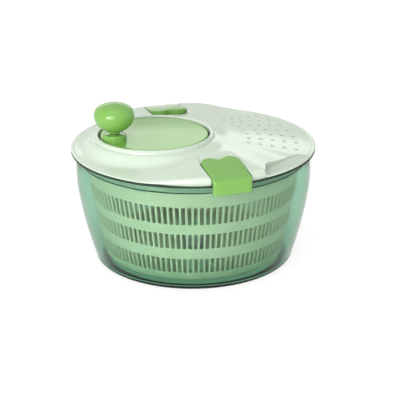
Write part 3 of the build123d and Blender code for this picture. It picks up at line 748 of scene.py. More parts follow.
# %% Lid measures
lid_wall = 2.4 * mm
lid_edge_top = lid_bottom + 3.6 * mm
lid_rise = 10.6 * mm
lid_crown = lid_edge_top + lid_rise
dome_radius = lid_radius - 4.5 * mm
dome_rings = 56
rim_groove_width = 2.0 * mm
rim_groove_depth = 0.5 * mm
rim_bead_drop = 1.1 * mm
rim_bead_swell = 0.45 * mm
rim_under = lid_edge_top - 2.2 * mm
rim_undercut = 1.7 * mm
rim_undercut_rise = 0.9 * mm
rim_edge_round = 0.2 * mm
rim_side_rise = 1.1 * mm
skirt_gap = 1.0 * mm
skirt_outer = wall_radius - wall_lean - bowl_wall - skirt_gap
skirt_inner = skirt_outer - 2.2 * mm
skirt_bottom = lid_bottom - 8.2 * mm
skirt_round = 0.6 * mm
print("lid crown at", round(lid_crown / mm, 1), "mm")

# %% Measures of the drain fan
drain_rows = 5
drain_columns = 7
drain_radius = 1.8 * mm
drain_row_step = 12.0 * mm
drain_column_step = math.radians(8.2)
drain_outer_reach = lid_radius - 21.5 * mm - crank_x
drain_inner_reach = drain_outer_reach - (drain_rows - 1) * drain_row_step
fan_margin = 8.0 * mm
fan_half_angle = drain_column_step * (drain_columns + 0.3) / 2
fan_depth = 0.25 * mm
fan_slope = 5.0 * mm
print("drain holes", drain_rows * drain_columns)


# %% Height of the lid's face
pad_lift = 5.6 * mm
pad_half_angle = math.radians(15)
pad_end_angle = math.radians(43)
well_edge = disc_radius + 7.0 * mm
well_blend = 18.0 * mm
well_shoulder = lip_top - 3.3 * mm
scoop_depth = 4.0 * mm
scoop_length = 18.0 * mm
scoop_side = 6.0 * mm
scoop_narrow = 0.8


def ease(value):
    """A soft step from 0 to 1."""
    value = min(1, max(0, value))
    return value * value * (3 - 2 * value)


def pad(x, y):
    """How much of the full pad there is in a direction: 1 at the clips, 0 at the sides."""
    away = math.atan2(abs(x), abs(y))
    return ease((pad_end_angle - away) / (pad_end_angle - pad_half_angle))


def pad_height(x, y):
    """How far the pads by the clips lift the lid's face."""
    return pad_lift * pad(x, y) * min(1, (x**2 + y**2) / dome_radius**2)


def scoop(x, y):
    """How deep the finger scoop at a clip's inner end is."""
    beside = 1 - ease((abs(x) - clip_high.x) / scoop_side + scoop_narrow)
    inward = clip_low.y - abs(y)
    return scoop_depth * beside * (1 - ease(max(inward / scoop_length, -inward / scoop_side)))


def turned_dome(radius):
    """Height of the lid's face without its pads."""
    return lid_crown - lid_rise * radius**2 / dome_radius**2


def plain_dome(x, y):
    """Height of the lid's face before the fan is pressed in. It rises in a soft curve to the well."""
    height = turned_dome(math.hypot(x, y)) + pad_height(x, y) - scoop(x, y)
    away = math.hypot(x - crank_x, y) - well_edge
    return height + (well_shoulder - height) * (1 - ease(away / well_blend)) ** 2


def dome(x, y):
    """Height of the lid's face."""
    reach = math.hypot(x - crank_x, y)
    inside = (fan_half_angle - abs(math.atan2(y, x - crank_x))) * reach
    inside = min(inside, reach - drain_inner_reach + fan_margin, drain_outer_reach + fan_margin - reach)
    return plain_dome(x, y) - fan_depth * ease(inside / fan_slope)


print("face over the rear clip's pin at", round(dome(0, pin_low.y) / mm, 1), "mm")

# %% Lid shell
recess_angle = math.radians(-55.5)
recess_half_angle = math.radians(17.5)
edge_margin = 1.0 * mm
edge_height = 0.6 * mm


def rim_rise(x, y):
    """How much higher the rim's underside is at the sides, where the edge is thin."""
    return rim_side_rise * (1 - pad(x, y))


def by_recess(x, y):
    """True where the rim runs past the recess, which ends the pad beside it."""
    return abs(math.atan2(y, x) - recess_angle) < recess_half_angle


def make_lid_shell():
    groove_end = dome_radius + rim_groove_width
    groove_middle = (dome_radius + groove_end) / 2
    outline = []
    for ring in range(dome_rings):
        radius = dome_radius * ring / dome_rings
        outline.append((radius, turned_dome(radius), 0))
    groove = arc((groove_middle, lid_edge_top), rim_groove_width / 2, rim_groove_depth, 180, 360, 8)
    outline += sharp(groove)
    bead_end = (lid_radius, lid_edge_top - rim_bead_drop)
    outline += sharp(bow((groove_end, lid_edge_top), bead_end, -rim_bead_swell, 10)[1:])
    outline += [
        (lid_radius, rim_under + rim_undercut_rise, rim_edge_round),
        (lid_radius - rim_undercut, rim_under, 0),
        (skirt_outer, rim_under, 0),
        (skirt_outer, skirt_bottom, skirt_round),
        (skirt_inner, skirt_bottom, skirt_round),
    ]
    for ring in range(dome_rings // 2, -1, -1):
        radius = skirt_inner * ring / (dome_rings // 2)
        outline.append((radius, turned_dome(radius) - lid_wall, 0))
    shell = turned("lid_shell", rounded(outline), steps=288)
    for vertex in shell.data.vertices:
        x, y, z = vertex.co
        radius = math.hypot(x, y)
        if abs(z - turned_dome(radius)) < tiny:
            vertex.co.z = dome(x, y)
            continue
        if radius > skirt_outer + edge_margin and z < rim_under + edge_height:
            vertex.co.z = z + rim_rise(x, y)
            continue
        if by_recess(x, y):
            continue
        if dome_radius < radius < groove_end and z < lid_edge_top:
            z += (lid_edge_top - z) * pad(x, y)
        share = min(1, max(0, (z - rim_under) / (lid_edge_top - rim_under)))
        vertex.co.z = z + share * pad_height(x, y)
    return shell


lid = make_lid_shell()
print("lid shell faces", len(lid.data.polygons))

# %% [markdown]
# ### Crank well
#
# The crank sinks into a round well with a soft raised lip. The dome is cut away inside the lip, and
# the well is turned about the crank's own axis and joined to it.

# %% Crank well
well_radius = disc_radius + 2.0 * mm
well_lip_width = well_edge - well_radius
well_lip_height = 5.0 * mm
well_lip_round = 1.5 * mm
well_wall = 2.2 * mm
crank_bush_low, crank_bush_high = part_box("crank_bush")
well_floor_low = crank_bush_low.z
well_floor_top = well_floor_low + 2.5 * mm
bush_flange = 0.4 * mm
well_boss_top = crank_bush_high.z - bush_flange
well_hole = 9.52 * mm
well_boss = well_hole + 3.0 * mm


def make_well():
    outer = well_radius + well_lip_width
    lip_start = well_radius + well_lip_round
    shoulder = lip_top - well_lip_height
    foot = plain_dome(outer - crank_x, 0) - lid_wall / 2
    outline = sharp(
        [
            (well_hole, well_floor_low),
            (well_radius + well_wall, well_floor_low),
            (well_radius + well_wall, foot),
            (outer, foot),
        ]
    )
    outline += sharp(arc((lip_start, shoulder), outer - lip_start, well_lip_height, 0, 90, 14))
    inner_round = (lip_start, lip_top - well_lip_round)
    outline += sharp(arc(inner_round, well_lip_round, well_lip_round, 90, 180, 8)[1:])
    outline += [
        (well_radius, well_floor_top, 1.5 * mm),
        (well_boss, well_floor_top, 0.8 * mm),
        (well_boss, well_boss_top, 0),
        (well_hole, well_boss_top, 0),
    ]
    return turned("well", rounded(outline), (crank_x, 0), 256)


def make_plug(radius, centre, low, high):
    """A plain cylinder to cut with."""
    outline = [(0, low), (radius, low), (radius, high), (0, high)]
    return turned("plug", outline, centre, 256)


combine(lid, make_plug(well_radius + well_wall, (crank_x, 0), 0, 2 * lip_top), "DIFFERENCE")
combine(lid, make_well(), "UNION")
print("lid with well faces", len(lid.data.polygons))

# %% [markdown]
# ### Clip pockets
#
# Each clip sits in a pocket with the clip's own wavy outline, grown by a gap. The pocket's cutter
# is a stack of rings: straight walls first, then rings that flare outwards, which leave a rounded
# edge on the lid. Cutters are drawn for the rear and turned half way round for the front.

# %% Clip outline
clip_lobe = 9.0 * mm
clip_wave = 4.0 * mm
clip_plan_corner = 2.7 * mm
clip_side_gap = 0.8 * mm
clip_end_gap = 0.7 * mm
pocket_wall = 2.0 * mm
pocket_floor = lid_bottom - 2.8 * mm
flange_top = lid_bottom + 1.7 * mm
flap_face = rim_band_radius + 0.7 * mm
half_turn = Matrix.Rotation(math.pi, 4, "Z")


def clip_plan(grow, inward=0, steps=14):
    """Plan of the rear clip grown all round: straight sides and a wavy inner end of two lobes."""
    half = clip_high.x
    lobe_x = half - clip_lobe
    lobe_y = clip_low.y + clip_lobe
    valley = (lobe_x**2 / clip_wave + clip_wave) / 2 - clip_lobe
    valley_y = clip_low.y + clip_wave - valley
    lean = math.degrees(math.atan2(lobe_y - valley_y, lobe_x))
    corner = clip_plan_corner + grow
    corner_x = half + grow - corner
    corner_y = clip_high.y + grow - corner
    plan = arc((-lobe_x, lobe_y), clip_lobe + grow, clip_lobe + grow, 180, 360 - lean, steps)
    plan += arc((0, valley_y), valley - grow, valley - grow, 180 - lean, lean, steps)[1:-1]
    plan += arc((lobe_x, lobe_y), clip_lobe + grow, clip_lobe + grow, 180 + lean, 360, steps)
    plan += arc((corner_x, corner_y), corner, corner, 0, 90, 6)
    plan += arc((-corner_x, corner_y), corner, corner, 90, 180, 6)
    return [(x, y - inward) for x, y in plan]


# %% Plans
def finely(plan, step):
    """A closed plan with its long sides divided."""
    line = []
    for index, start in enumerate(plan):
        end = plan[(index + 1) % len(plan)]
        parts = max(1, math.ceil(math.dist(start, end) / step))
        for part in range(parts):
            share = part / parts
            x = start[0] + (end[0] - start[0]) * share
            y = start[1] + (end[1] - start[1]) * share
            line.append((x, y))
    return line


def within(plan, radius):
    """A plan pulled in wherever it leaves a circle about the lid's centre."""
    pulled = []
    for x, y in plan:
        scale = min(1, radius / math.hypot(x, y))
        pulled.append((x * scale, y * scale))
    return pulled


def outward(plan):
    """The outward direction at each point of an anticlockwise plan."""
    directions = []
    for index in range(len(plan)):
        before, after = plan[index - 1], plan[(index + 1) % len(plan)]
        directions.append(Vector((after[1] - before[1], before[0] - after[0])).normalized())
    return directions

# %% Cutter with a rounded edge
flare_angle = math.radians(75)
flare_steps = 5


def rounded_cutter(name, plan, floor, face, edge):
    """A cutter from a floor up through a face, flaring so that it leaves a rounded edge."""
    sides = outward(plan)
    rings = [[(x, y, floor(x, y)) for x, y in plan]]

    def ring(out, up):
        spots = []
        for (x, y), side in zip(plan, sides):
            spots.append((x + side.x * out, y + side.y * out, face(x, y) - edge + up))
        return spots

    for step in range(flare_steps + 1):
        angle = flare_angle * step / flare_steps
        rings.append(ring(edge * (1 - math.cos(angle)), edge * math.sin(angle)))
    across, up = math.cos(flare_angle), math.sin(flare_angle)
    rings.append(ring(edge * (1 - across + up), edge * (up + across)))
    top = [(x, y, 2 * lip_top) for x, y, _ in rings[-1]]
    return stacked(name, rings + [top])


def prism(name, plan, low, high):
    """An upright prism between two levels."""
    return stacked(name, [[(x, y, low) for x, y in plan], [(x, y, high) for x, y in plan]])


def turned_round(piece):
    """A copy of a piece turned half way round the lid."""
    copy = new_piece(piece.name + "_front", piece.data.copy())
    copy.data.transform(half_turn)
    return copy

# %% Clip pockets
pocket_edge = 0.8 * mm
pocket_inset = 0.2 * mm
pocket_overlap = 1.0 * mm
bore_gap = 0.02 * mm
plan_step = 2.0 * mm
wall_plan = finely(clip_plan(clip_side_gap + pocket_wall, clip_end_gap), plan_step)
wall_plan = within(wall_plan, skirt_outer - pocket_inset)
room_plan = finely(clip_plan(clip_side_gap, clip_end_gap), plan_step)
deep_plan = within(room_plan, skirt_inner)
half_notch = clip_high.x + clip_side_gap
notch_end = 1.2 * clip_high.y
flap_plan = [
    (-half_notch, flap_face),
    (half_notch, flap_face),
    (half_notch, notch_end),
    (-half_notch, notch_end),
]
pin_y = (pin_low.y + pin_high.y) / 2
pin_z = (pin_low.z + pin_high.z) / 2
pin_radius = (pin_high.z - pin_low.z) / 2


def make_rod(name, radius, half_length, y, z, steps=48):
    """A rod across the lid, along X."""
    rings = []
    for x in (-half_length, half_length):
        spots = arc((y, z), radius, radius, 0, 360, steps)[:-1]
        rings.append([(x, across, height) for across, height in spots])
    return stacked(name, rings)


def body_under(name, plan, low):
    """A solid from a level up into the lid's wall, to hold a pocket."""
    base = [(x, y, low) for x, y in plan]
    return stacked(name, [base, [(x, y, plain_dome(x, y) - lid_wall / 2) for x, y in plan]])


def add_pocket(joined):
    """Joins a pocket's body to the lid, at the rear and at the front."""
    combine(lid, turned_round(joined), "UNION")
    combine(lid, joined, "UNION")


def cut_pocket(tool):
    """Cuts the lid with a tool, at the rear and at the front."""
    combine(lid, turned_round(tool), "DIFFERENCE")
    combine(lid, tool, "DIFFERENCE")


add_pocket(body_under("pocket_body", wall_plan, pocket_floor - pocket_wall))
cut_pocket(rounded_cutter("notch", room_plan, lambda x, y: flange_top, plain_dome, pocket_edge))
cut_pocket(prism("pocket", deep_plan, pocket_floor, flange_top + pocket_overlap))
cut_pocket(prism("flap_room", flap_plan, 0, 2 * lip_top))
cut_pocket(make_rod("pin_hole", pin_radius + bore_gap, pin_high.x, pin_y, pin_z))
print("lid with pockets faces", len(lid.data.polygons))

# %% [markdown]
# ### Pour recess
#
# Near the rim the lid has a shallow recess, with splayed sides and a floor that slopes down to the
# rim. It is cut with the same kind of flared cutter, so its edge catches the light as a thin line.

# %% Pour recess
recess_outer = lid_radius - 2.2 * mm
recess_inner = lid_radius - 19.5 * mm
recess_inner_half = 20.0 * mm
recess_long = 12.0 * mm
recess_skew = 2.5 * mm
recess_corner = 5.0 * mm
recess_wall = 1.7 * mm
recess_low = lid_bottom + 2.6 * mm
recess_step = 1.4 * mm
recess_body_outer = lid_radius - 5.0 * mm
recess_edge = 0.6 * mm


def recess_plan(grow):
    """Plan of the recess: the rim's curve, splayed sides and a straight inner edge."""
    reach = min(recess_outer + grow, recess_body_outer) if grow else recess_outer
    half = recess_half_angle + grow / reach
    inner = recess_inner - grow
    across = recess_inner_half + grow
    rim = arc((0, 0), reach, reach, -math.degrees(half), math.degrees(half), 24)
    far = (inner + recess_skew, across + recess_long, recess_corner)
    corners = sharp(rim) + [far, (inner, -across, recess_corner)]
    turn = Matrix.Rotation(recess_angle, 2)
    return [tuple(turn @ Vector(spot)) for spot in finely(rounded(corners, 8), plan_step)]


def recess_floor(x, y):
    """Height of the recess's sloping floor."""
    along = x * math.cos(recess_angle) + y * math.sin(recess_angle)
    inner_low = plain_dome(recess_inner, 0) - recess_step
    share = (along - recess_inner) / (recess_outer - recess_inner)
    return inner_low + (recess_low - inner_low) * share


combine(lid, body_under("recess_body", recess_plan(recess_wall), lid_bottom), "UNION")
recess = rounded_cutter("recess", recess_plan(0), recess_floor, plain_dome, recess_edge)
combine(lid, recess, "DIFFERENCE")
print("lid with recess faces", len(lid.data.polygons))

# %% [markdown]
# ### Painted shade on the recess floor
#
# The recess's floor gets painted shade: a tone deeper than the polished face around it.
# A number on each face, 1 on the floor and 0 elsewhere, tells the lid's plastic where that is.

# %% Painted shade on the recess floor
floor_margin = 0.1 * mm


def mark_recess_floor(piece):
    """Marks the faces of the recess's floor for the material's painted shade. Returns how many there
    are.
    """
    marks = []
    for face in piece.data.polygons:
        x, y, z = face.center
        reach = math.hypot(x, y)
        near = abs(math.atan2(y, x) - recess_angle) < recess_half_angle and reach < recess_outer
        marks.append(float(near and abs(z - recess_floor(x, y)) < floor_margin))
    layer = piece.data.attributes.new("matt_floor", "FLOAT", "FACE")
    layer.data.foreach_set("value", marks)
    return int(sum(marks))


def paint_shade(material, layer, code):
    """Paints shade into a material: a deeper tone where a number stored on the mesh is 1."""
    tree = material.node_tree
    shader = next(node for node in tree.nodes if node.type == "BSDF_PRINCIPLED")
    source = shader.inputs["Base Color"].links[0].from_socket
    mask = add(tree, "ShaderNodeAttribute", attribute_name=layer)
    links = {"Factor": mask.outputs["Fac"], "A": source}
    tone = add(tree, "ShaderNodeMix", {"B": linear(code)}, links, data_type="RGBA")
    tree.links.new(tone.outputs["Result"], shader.inputs["Base Color"])


# Painted shade: the tone that darkens the recess's floor.
paint_shade(lid_plastic, "matt_floor", "#acb8a8")

# %% [markdown]
# ### Drain holes
#
# The holes lie on arcs about the crank, like a fan. Geometry Nodes place them: a grid holds the
# rows and columns, its two directions are read as a reach and an angle, and each point is dropped
# onto the dome. A small turned drill stands on every point and is cut out of the lid.

# %% Drill for the drain holes
drill_flare = 0.45 * mm
drill_steps = 4


def make_drill():
    """A drill with a flared top, whose origin sits on the lid's face."""
    depth = 4 * lid_wall
    outline = [(0, -depth), (drain_radius, -depth)]
    for step in range(drill_steps + 1):
        angle = flare_angle * step / drill_steps
        out = drain_radius + drill_flare * (1 - math.cos(angle))
        outline.append((out, drill_flare * (math.sin(angle) - 1)))
    wide = drain_radius + 2 * drill_flare
    outline += [(wide, drill_flare / 2), (wide, depth), (0, depth)]
    return turned("drain_drill", outline, steps=40)


# %% Fan of drain holes, as Geometry Nodes
fan_values = {
    "Drill": make_drill(),
    "Rows": drain_rows,
    "Columns": drain_columns,
    "Fan Depth": (drain_rows - 1) * drain_row_step,
    "Fan Angle": (drain_columns - 1) * drain_column_step,
    "Middle Reach": (drain_inner_reach + drain_outer_reach) / 2,
    "Centre": crank_x,
    "Crown": lid_crown - fan_depth,
    "Dome Fall": lid_rise / dome_radius**2,
    "Finish": lid_plastic,
}


def fan_tree():
    """A tree that cuts a fan of holes. Returns it with its inputs."""
    kinds = dict.fromkeys(fan_values, "Float")
    kinds |= {"Drill": "Object", "Rows": "Int", "Columns": "Int", "Finish": "Material"}
    tree, inputs = new_tree("fan_of_holes", kinds)
    given = add(tree, "NodeGroupInput").outputs

    def maths(operation, first, second=None):
        links = {0: first} if second is None else {0: first, 1: second}
        return add(tree, "ShaderNodeMath", None, links, operation=operation).outputs["Value"]

    sizes = {"Size X": given["Fan Depth"], "Size Y": given["Fan Angle"]}
    sizes |= {"Vertices X": given["Rows"], "Vertices Y": given["Columns"]}
    grid = add(tree, "GeometryNodeMeshGrid", None, sizes)
    spot = add(tree, "GeometryNodeInputPosition").outputs["Position"]
    parts = add(tree, "ShaderNodeSeparateXYZ", None, {"Vector": spot}).outputs
    reach = maths("ADD", parts["X"], given["Middle Reach"])
    along = maths("MULTIPLY", reach, maths("COSINE", parts["Y"]))
    x = maths("ADD", along, given["Centre"])
    y = maths("MULTIPLY", reach, maths("SINE", parts["Y"]))
    square = maths("ADD", maths("MULTIPLY", x, x), maths("MULTIPLY", y, y))
    z = maths("SUBTRACT", given["Crown"], maths("MULTIPLY", square, given["Dome Fall"]))
    place = add(tree, "ShaderNodeCombineXYZ", None, {"X": x, "Y": y, "Z": z})
    links = {"Geometry": grid.outputs["Mesh"], "Position": place.outputs["Vector"]}
    fan = add(tree, "GeometryNodeSetPosition", None, links)
    drill = add(tree, "GeometryNodeObjectInfo", None, {"Object": given["Drill"]})
    links = {"Points": fan.outputs["Geometry"], "Instance": drill.outputs["Geometry"]}
    drills = add(tree, "GeometryNodeInstanceOnPoints", None, links).outputs["Instances"]
    real = add(tree, "GeometryNodeRealizeInstances", None, {"Geometry": drills})
    links = {"Mesh 1": given["Geometry"], "Mesh 2": real.outputs["Geometry"]}
    way = {"operation": "DIFFERENCE", "solver": "MANIFOLD"}
    cut = add(tree, "GeometryNodeMeshBoolean", None, links, **way)
    end_tree(tree, cut.outputs["Mesh"], given["Finish"])
    return tree, inputs


print("fan inputs", len(fan_values))

# %% Cut the drain holes
run_tree(lid, *fan_tree(), fan_values)
bpy.data.objects.remove(fan_values["Drill"])
smooth(lid)
# Counts the faces that get the recess floor's painted shade.
print("shaded recess floor faces", mark_recess_floor(lid))
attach(lid, "lid")
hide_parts("lid")
print("lid faces", len(lid.data.polygons))

# %% [markdown]
# ## Crank disc and knob
#
# The disc is turned with a soft edge and a slight dome, so that it mirrors the light behind it in
# its middle. It carries a round boss for the knob. The ball of the knob is two turned halves, a
# cap and a collar with a thin neck, and both turn on a stud.

# %% Crank disc
gear_low, gear_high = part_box("crank_gear")
stud_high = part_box("knob_stud")[1]
disc_top = lip_top - 1.5 * mm
disc_dome = 0.8 * mm
disc_edge = 1.5 * mm
disc_rings = 24
disc_under = disc_top - 3.0 * mm
disc_under_round = 0.5 * mm
disc_skirt_wall = 2.5 * mm
disc_skirt_round = 0.4 * mm
disc_skirt_low = well_floor_top + 0.8 * mm
shaft_radius = 7.0 * mm
shaft_round = 0.5 * mm
shaft_foot = 1.0 * mm
shaft_square = 9.0 * mm
square_short = 0.4 * mm
square_lap = 1.0 * mm
boss_radius = 11.8 * mm
boss_top = disc_top + 6.8 * mm
boss_edge = 1.6 * mm
stud_radius = 3.0 * mm
screw_radius = 2.0 * mm
screw_depth = gear_low.z + 9.0 * mm


def make_disc():
    flat = disc_radius - disc_edge
    inner = disc_radius - disc_skirt_wall
    outline = [
        (0, gear_high.z, 0),
        (shaft_radius, gear_high.z, shaft_round),
        (shaft_radius, disc_under, shaft_foot),
        (inner, disc_under, disc_under_round),
        (inner, disc_skirt_low, disc_skirt_round),
        (disc_radius, disc_skirt_low, disc_skirt_round),
    ]
    outline += sharp(arc((flat, disc_top - disc_edge), disc_edge, disc_edge, 0, 90, 8))
    for ring in range(disc_rings - 1, -1, -1):
        share = ring / disc_rings
        outline.append((flat * share, disc_top + disc_dome * (1 - share**2), 0))
    return turned("crank_disc_shell", rounded(outline), (crank_x, 0), 256)


# %% Boss and square of the crank
def make_boss():
    outline = [
        (0, disc_under, 0),
        (boss_radius, disc_under, 0),
        (boss_radius, boss_top, boss_edge),
        (0, boss_top, 0),
    ]
    return turned("boss", rounded(outline, 8), (knob_x, knob_y), 128)


def make_square():
    half = shaft_square / 2
    left, right = crank_x - half, crank_x + half
    plan = [(left, -half), (right, -half), (right, half), (left, half)]
    return prism("square", plan, gear_low.z + square_short, gear_high.z + square_lap)


disc = make_disc()
combine(disc, make_boss(), "UNION")
combine(disc, make_square(), "UNION")
combine(disc, make_plug(screw_radius + bore_gap, (crank_x, 0), 0, screw_depth), "DIFFERENCE")
combine(disc, make_plug(stud_radius + bore_gap, (knob_x, knob_y), 0, 2 * lip_top), "DIFFERENCE")
dress(disc, green_plastic)
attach(disc, "crank")
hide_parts("crank_disc")
print("crank disc faces", len(disc.data.polygons))

# %% Knob
knob_centre = cap_high.z - 12.3 * mm
knob_radius = (cap_high.x - cap_low.x) / 2
knob_split = cap_low.z
split_rise = knob_centre - knob_split
knob_bottom = collar_low.z
knob_lower_height = 17.5 * mm
knob_split_angle = -math.degrees(math.asin(split_rise / knob_lower_height))
knob_shoulder = 9.5 * mm
knob_neck = 5.0 * mm
knob_foot_round = 0.5 * mm
knob_neck_round = 1.2 * mm
knob_bore = 3.05 * mm
tube_radius = knob_bore + 3.0 * mm
tube_top = collar_high.z
cavity_radius = tube_radius + 3.0 * mm
cavity_top = stud_high.z + 3.2 * mm


def make_cap():
    shoulder_x = knob_radius - knob_shoulder
    height = cap_high.z - knob_centre
    crown = (height**2 + shoulder_x**2 - knob_shoulder**2) / (2 * (height - knob_shoulder))
    turn = math.degrees(math.atan2(crown - height, shoulder_x))
    outline = [(0, cavity_top), (cavity_radius, cavity_top), (cavity_radius, knob_split)]
    outline += arc((0, knob_centre), knob_radius, knob_lower_height, knob_split_angle, 0, 20)
    outline += arc((shoulder_x, knob_centre), knob_shoulder, knob_shoulder, 0, turn, 20)[1:]
    outline += arc((0, cap_high.z - crown), crown, crown, turn, 90, 16)[1:]
    return turned("knob_cap_shell", outline, (knob_x, knob_y), 160)


def make_collar():
    neck = -math.degrees(math.acos(knob_neck / knob_radius))
    belly = arc((0, knob_centre), knob_radius, knob_lower_height, neck, knob_split_angle, 20)
    outline = [(knob_bore, knob_bottom, 0), (knob_neck, knob_bottom, knob_foot_round)]
    outline += [(*belly[0], knob_neck_round)] + sharp(belly[3:])
    outline += sharp([(tube_radius, knob_split), (tube_radius, tube_top), (knob_bore, tube_top)])
    return turned("knob_collar_shell", rounded(outline), (knob_x, knob_y), 160)


for piece, node in ((make_cap(), "knob_cap"), (make_collar(), "knob_collar")):
    dress(piece, green_plastic)
    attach(piece, "knob")
    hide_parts(node)
    print(node, "faces", len(piece.data.polygons))

# %% [markdown]
# ## Clips
#
# A clip is a see-saw with a sloping top and a flap that hooks under the bowl's rim. Its block is
# a stack of rings with the same wavy plan, and the top rings draw inwards for a rounded edge. The
# underside is then cut away with a side-on cutter, and a barrel for the hinge pin is joined.

# %% Clips
clip_plate = 3.0 * mm
clip_skirt = 2.2 * mm
clip_flap_inner = clip_high.y - 3.5 * mm
clip_lip = 1.5 * mm
clip_lip_height = 2.2 * mm
clip_under = lid_bottom + 3.5 * mm
clip_end_depth = 8.0 * mm
clip_top_outer = lid_bottom + 7.2 * mm
clip_edge = 1.4 * mm
clip_end_edge = 3.0 * mm
clip_bottom = clip_low.z + 1.3 * mm
barrel_radius = pin_radius + 1.7 * mm
barrel_short = 0.3 * mm
pin_gap = 0.05 * mm
barrel_front = pin_y - barrel_radius
barrel_back = pin_y + barrel_radius


def clip_top(y):
    """Height of the clip's sloping top."""
    share = (y - clip_low.y) / (clip_high.y - clip_low.y)
    return clip_high.z + (clip_top_outer - clip_high.z) * share


def make_clip_block():
    plan = finely(clip_plan(0), plan_step)
    sides = outward(plan)
    rings = [[(x, y, clip_bottom) for x, y in plan]]
    for step in range(9):
        angle = math.radians(90) * step / 8
        ring = []
        for (x, y), side in zip(plan, sides):
            edge = clip_edge + (clip_end_edge - clip_edge) * max(0, side.y)
            inside = edge * (1 - math.cos(angle))
            spot = Vector((x, y)) - side * inside
            ring.append((*spot, clip_top(spot.y) - edge * (1 - math.sin(angle))))
        rings.append(ring)
    return stacked("rear_clip_shell", rings)


rear_clip = make_clip_block()
print("clip block faces", len(rear_clip.data.polygons))


# %% Underside of a clip
def side_prism(name, outline):
    """A prism across the lid from a side-on outline."""
    wide = 2 * clip_high.x
    return stacked(name, [[(x, y, z) for y, z in outline] for x in (-wide, wide)])


def make_under_cutter():
    end_low = clip_high.z - clip_end_depth
    fall = (end_low - pin_z) / (barrel_front - clip_low.y)
    before = clip_low.y / 2
    hook = clip_bottom + clip_lip_height
    return side_prism(
        "under",
        [
            (before, end_low + fall * (clip_low.y - before)),
            (before, 0),
            (clip_flap_inner - clip_lip, 0),
            (clip_flap_inner - clip_lip, hook),
            (clip_flap_inner, hook + clip_lip),
            (clip_flap_inner, clip_under),
            (barrel_back, clip_under),
            (barrel_back, pin_z),
            (barrel_front, pin_z),
        ],
    )


def make_clip_room():
    """The hollow under the clip's plate."""
    end = barrel_front - clip_skirt
    plan = [(x, min(y, end)) for x, y in finely(clip_plan(-clip_skirt), plan_step)]
    rings = [[(x, y, 0) for x, y in plan], [(x, y, clip_top(y) - clip_plate) for x, y in plan]]
    return stacked("room", rings)


combine(rear_clip, make_under_cutter(), "DIFFERENCE")
combine(rear_clip, make_clip_room(), "DIFFERENCE")
barrel = make_rod("barrel", barrel_radius, clip_high.x - barrel_short, pin_y, pin_z)
combine(rear_clip, barrel, "UNION")
bore = make_rod("bore", pin_radius + pin_gap, 2 * clip_high.x, pin_y, pin_z)
combine(rear_clip, bore, "DIFFERENCE")
front_clip = turned_round(rear_clip)
front_clip.name = "front_clip_shell"
for piece, node in ((rear_clip, "rear_clip"), (front_clip, "front_clip")):
    dress(piece, green_plastic)
    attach(piece, node)
    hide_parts(node)
    print(node, "faces", len(piece.data.polygons))

# %% [markdown]
# ## Rim seal
#
# A dark rubber ring lies under the lid's rim, and it is partly painted shade. Its upper face slopes
# out from under the edge, so it shows the shade under the rim as a thin line at the front and a
# broader band at the sides. A second, thin lip of the same rubber closes the bottom of the lid's
# skirt, and shows through the bowl as a fine line of painted shade.

# %% Rim seal
seal_outer = lid_radius - 0.1 * mm
seal_inner = wall_radius - wall_lean + 0.6 * mm
seal_edge_top = rim_under - 1.3 * mm
seal_edge_low = rim_under - 1.5 * mm
seal_bottom = rim_under - 2.4 * mm
seal_foot = 0.4 * mm
seal_tuck = 0.2 * mm
top_margin = 0.1 * mm
lip_low = skirt_bottom - 0.7 * mm
lip_inner = skirt_outer - 1.5 * mm
lip_outer = skirt_outer + 0.3 * mm
seal_outline = [
    (seal_inner, rim_under),
    (seal_inner, seal_bottom),
    (seal_inner + seal_foot, seal_bottom),
    (seal_outer, seal_edge_low),
    (seal_outer, seal_edge_top),
    (lid_radius - rim_undercut - seal_tuck, rim_under),
]
# The lip is a dark line of painted shade for the narrow gap at the skirt's foot.
lip_outline = [
    (lip_inner, skirt_bottom),
    (lip_inner, lip_low),
    (lip_outer, lip_low),
    (lip_outer, skirt_bottom),
]
seal = turned("rim_seal_shell", seal_outline, steps=256)
for vertex in seal.data.vertices:
    if vertex.co.z > seal_edge_top + top_margin:
        vertex.co.z += rim_rise(vertex.co.x, vertex.co.y)
combine(seal, turned("seal_lip", lip_outline, steps=256), "UNION")
# Painted shade: the dark seal and its lip stand for the shade under the rim and at the skirt.
dress(seal, seal_rubber_and_shade)
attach(seal, "lid")
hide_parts("rim_seal")
print("rim seal faces", len(seal.data.polygons))

# %% [markdown]
# ## Clip springs
#
# Under each clip a bent steel leaf pushes its inner end up. The piece is a copy of the imported
# shape, in rolled steel, and it moves with the lid.

# %% Clip springs
for side in ("front", "rear"):
    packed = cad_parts[side + "_clip_spring"]
    leaf = new_piece(side + "_clip_leaf", packed.data.copy())
    leaf.data.transform(packed.matrix_world)
    leaf.data.materials.clear()
    leaf.data.materials.append(rolled_steel)
    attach(leaf, "lid")
    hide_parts(side + "_clip_spring")
    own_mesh(leaf)
    print(leaf.name, "faces", len(leaf.data.polygons))

# %% [markdown]
# ## Inner works
#
# The gears, bushes, pins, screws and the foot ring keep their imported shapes, which are already
# exact. They only need finishes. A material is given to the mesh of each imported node.

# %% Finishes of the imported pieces
finishes = {
    "non_slip_ring": foot_rubber,
    "bowl_pivot_pin": ground_steel,
    "knob_stud": ground_steel,
    "front_clip_pin": ground_steel,
    "rear_clip_pin": ground_steel,
    "crank_screw": plated_steel,
    "crank_washer": plated_steel,
    "driver_screw": plated_steel,
    "gear_cover_screws": plated_steel,
    "basket_hub_bush": bush_plastic,
    "crank_bush": bush_plastic,
    "driver_bush": bush_plastic,
    "crank_gear": gear_plastic,
    "drive_pinion": gear_plastic,
    "driver_spider": inner_plastic,
    "gear_cover": inner_plastic,
}
for node, finish in finishes.items():
    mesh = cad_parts[node].data
    mesh.materials.clear()
    mesh.materials.append(finish)
print("finished packed pieces", len(finishes))

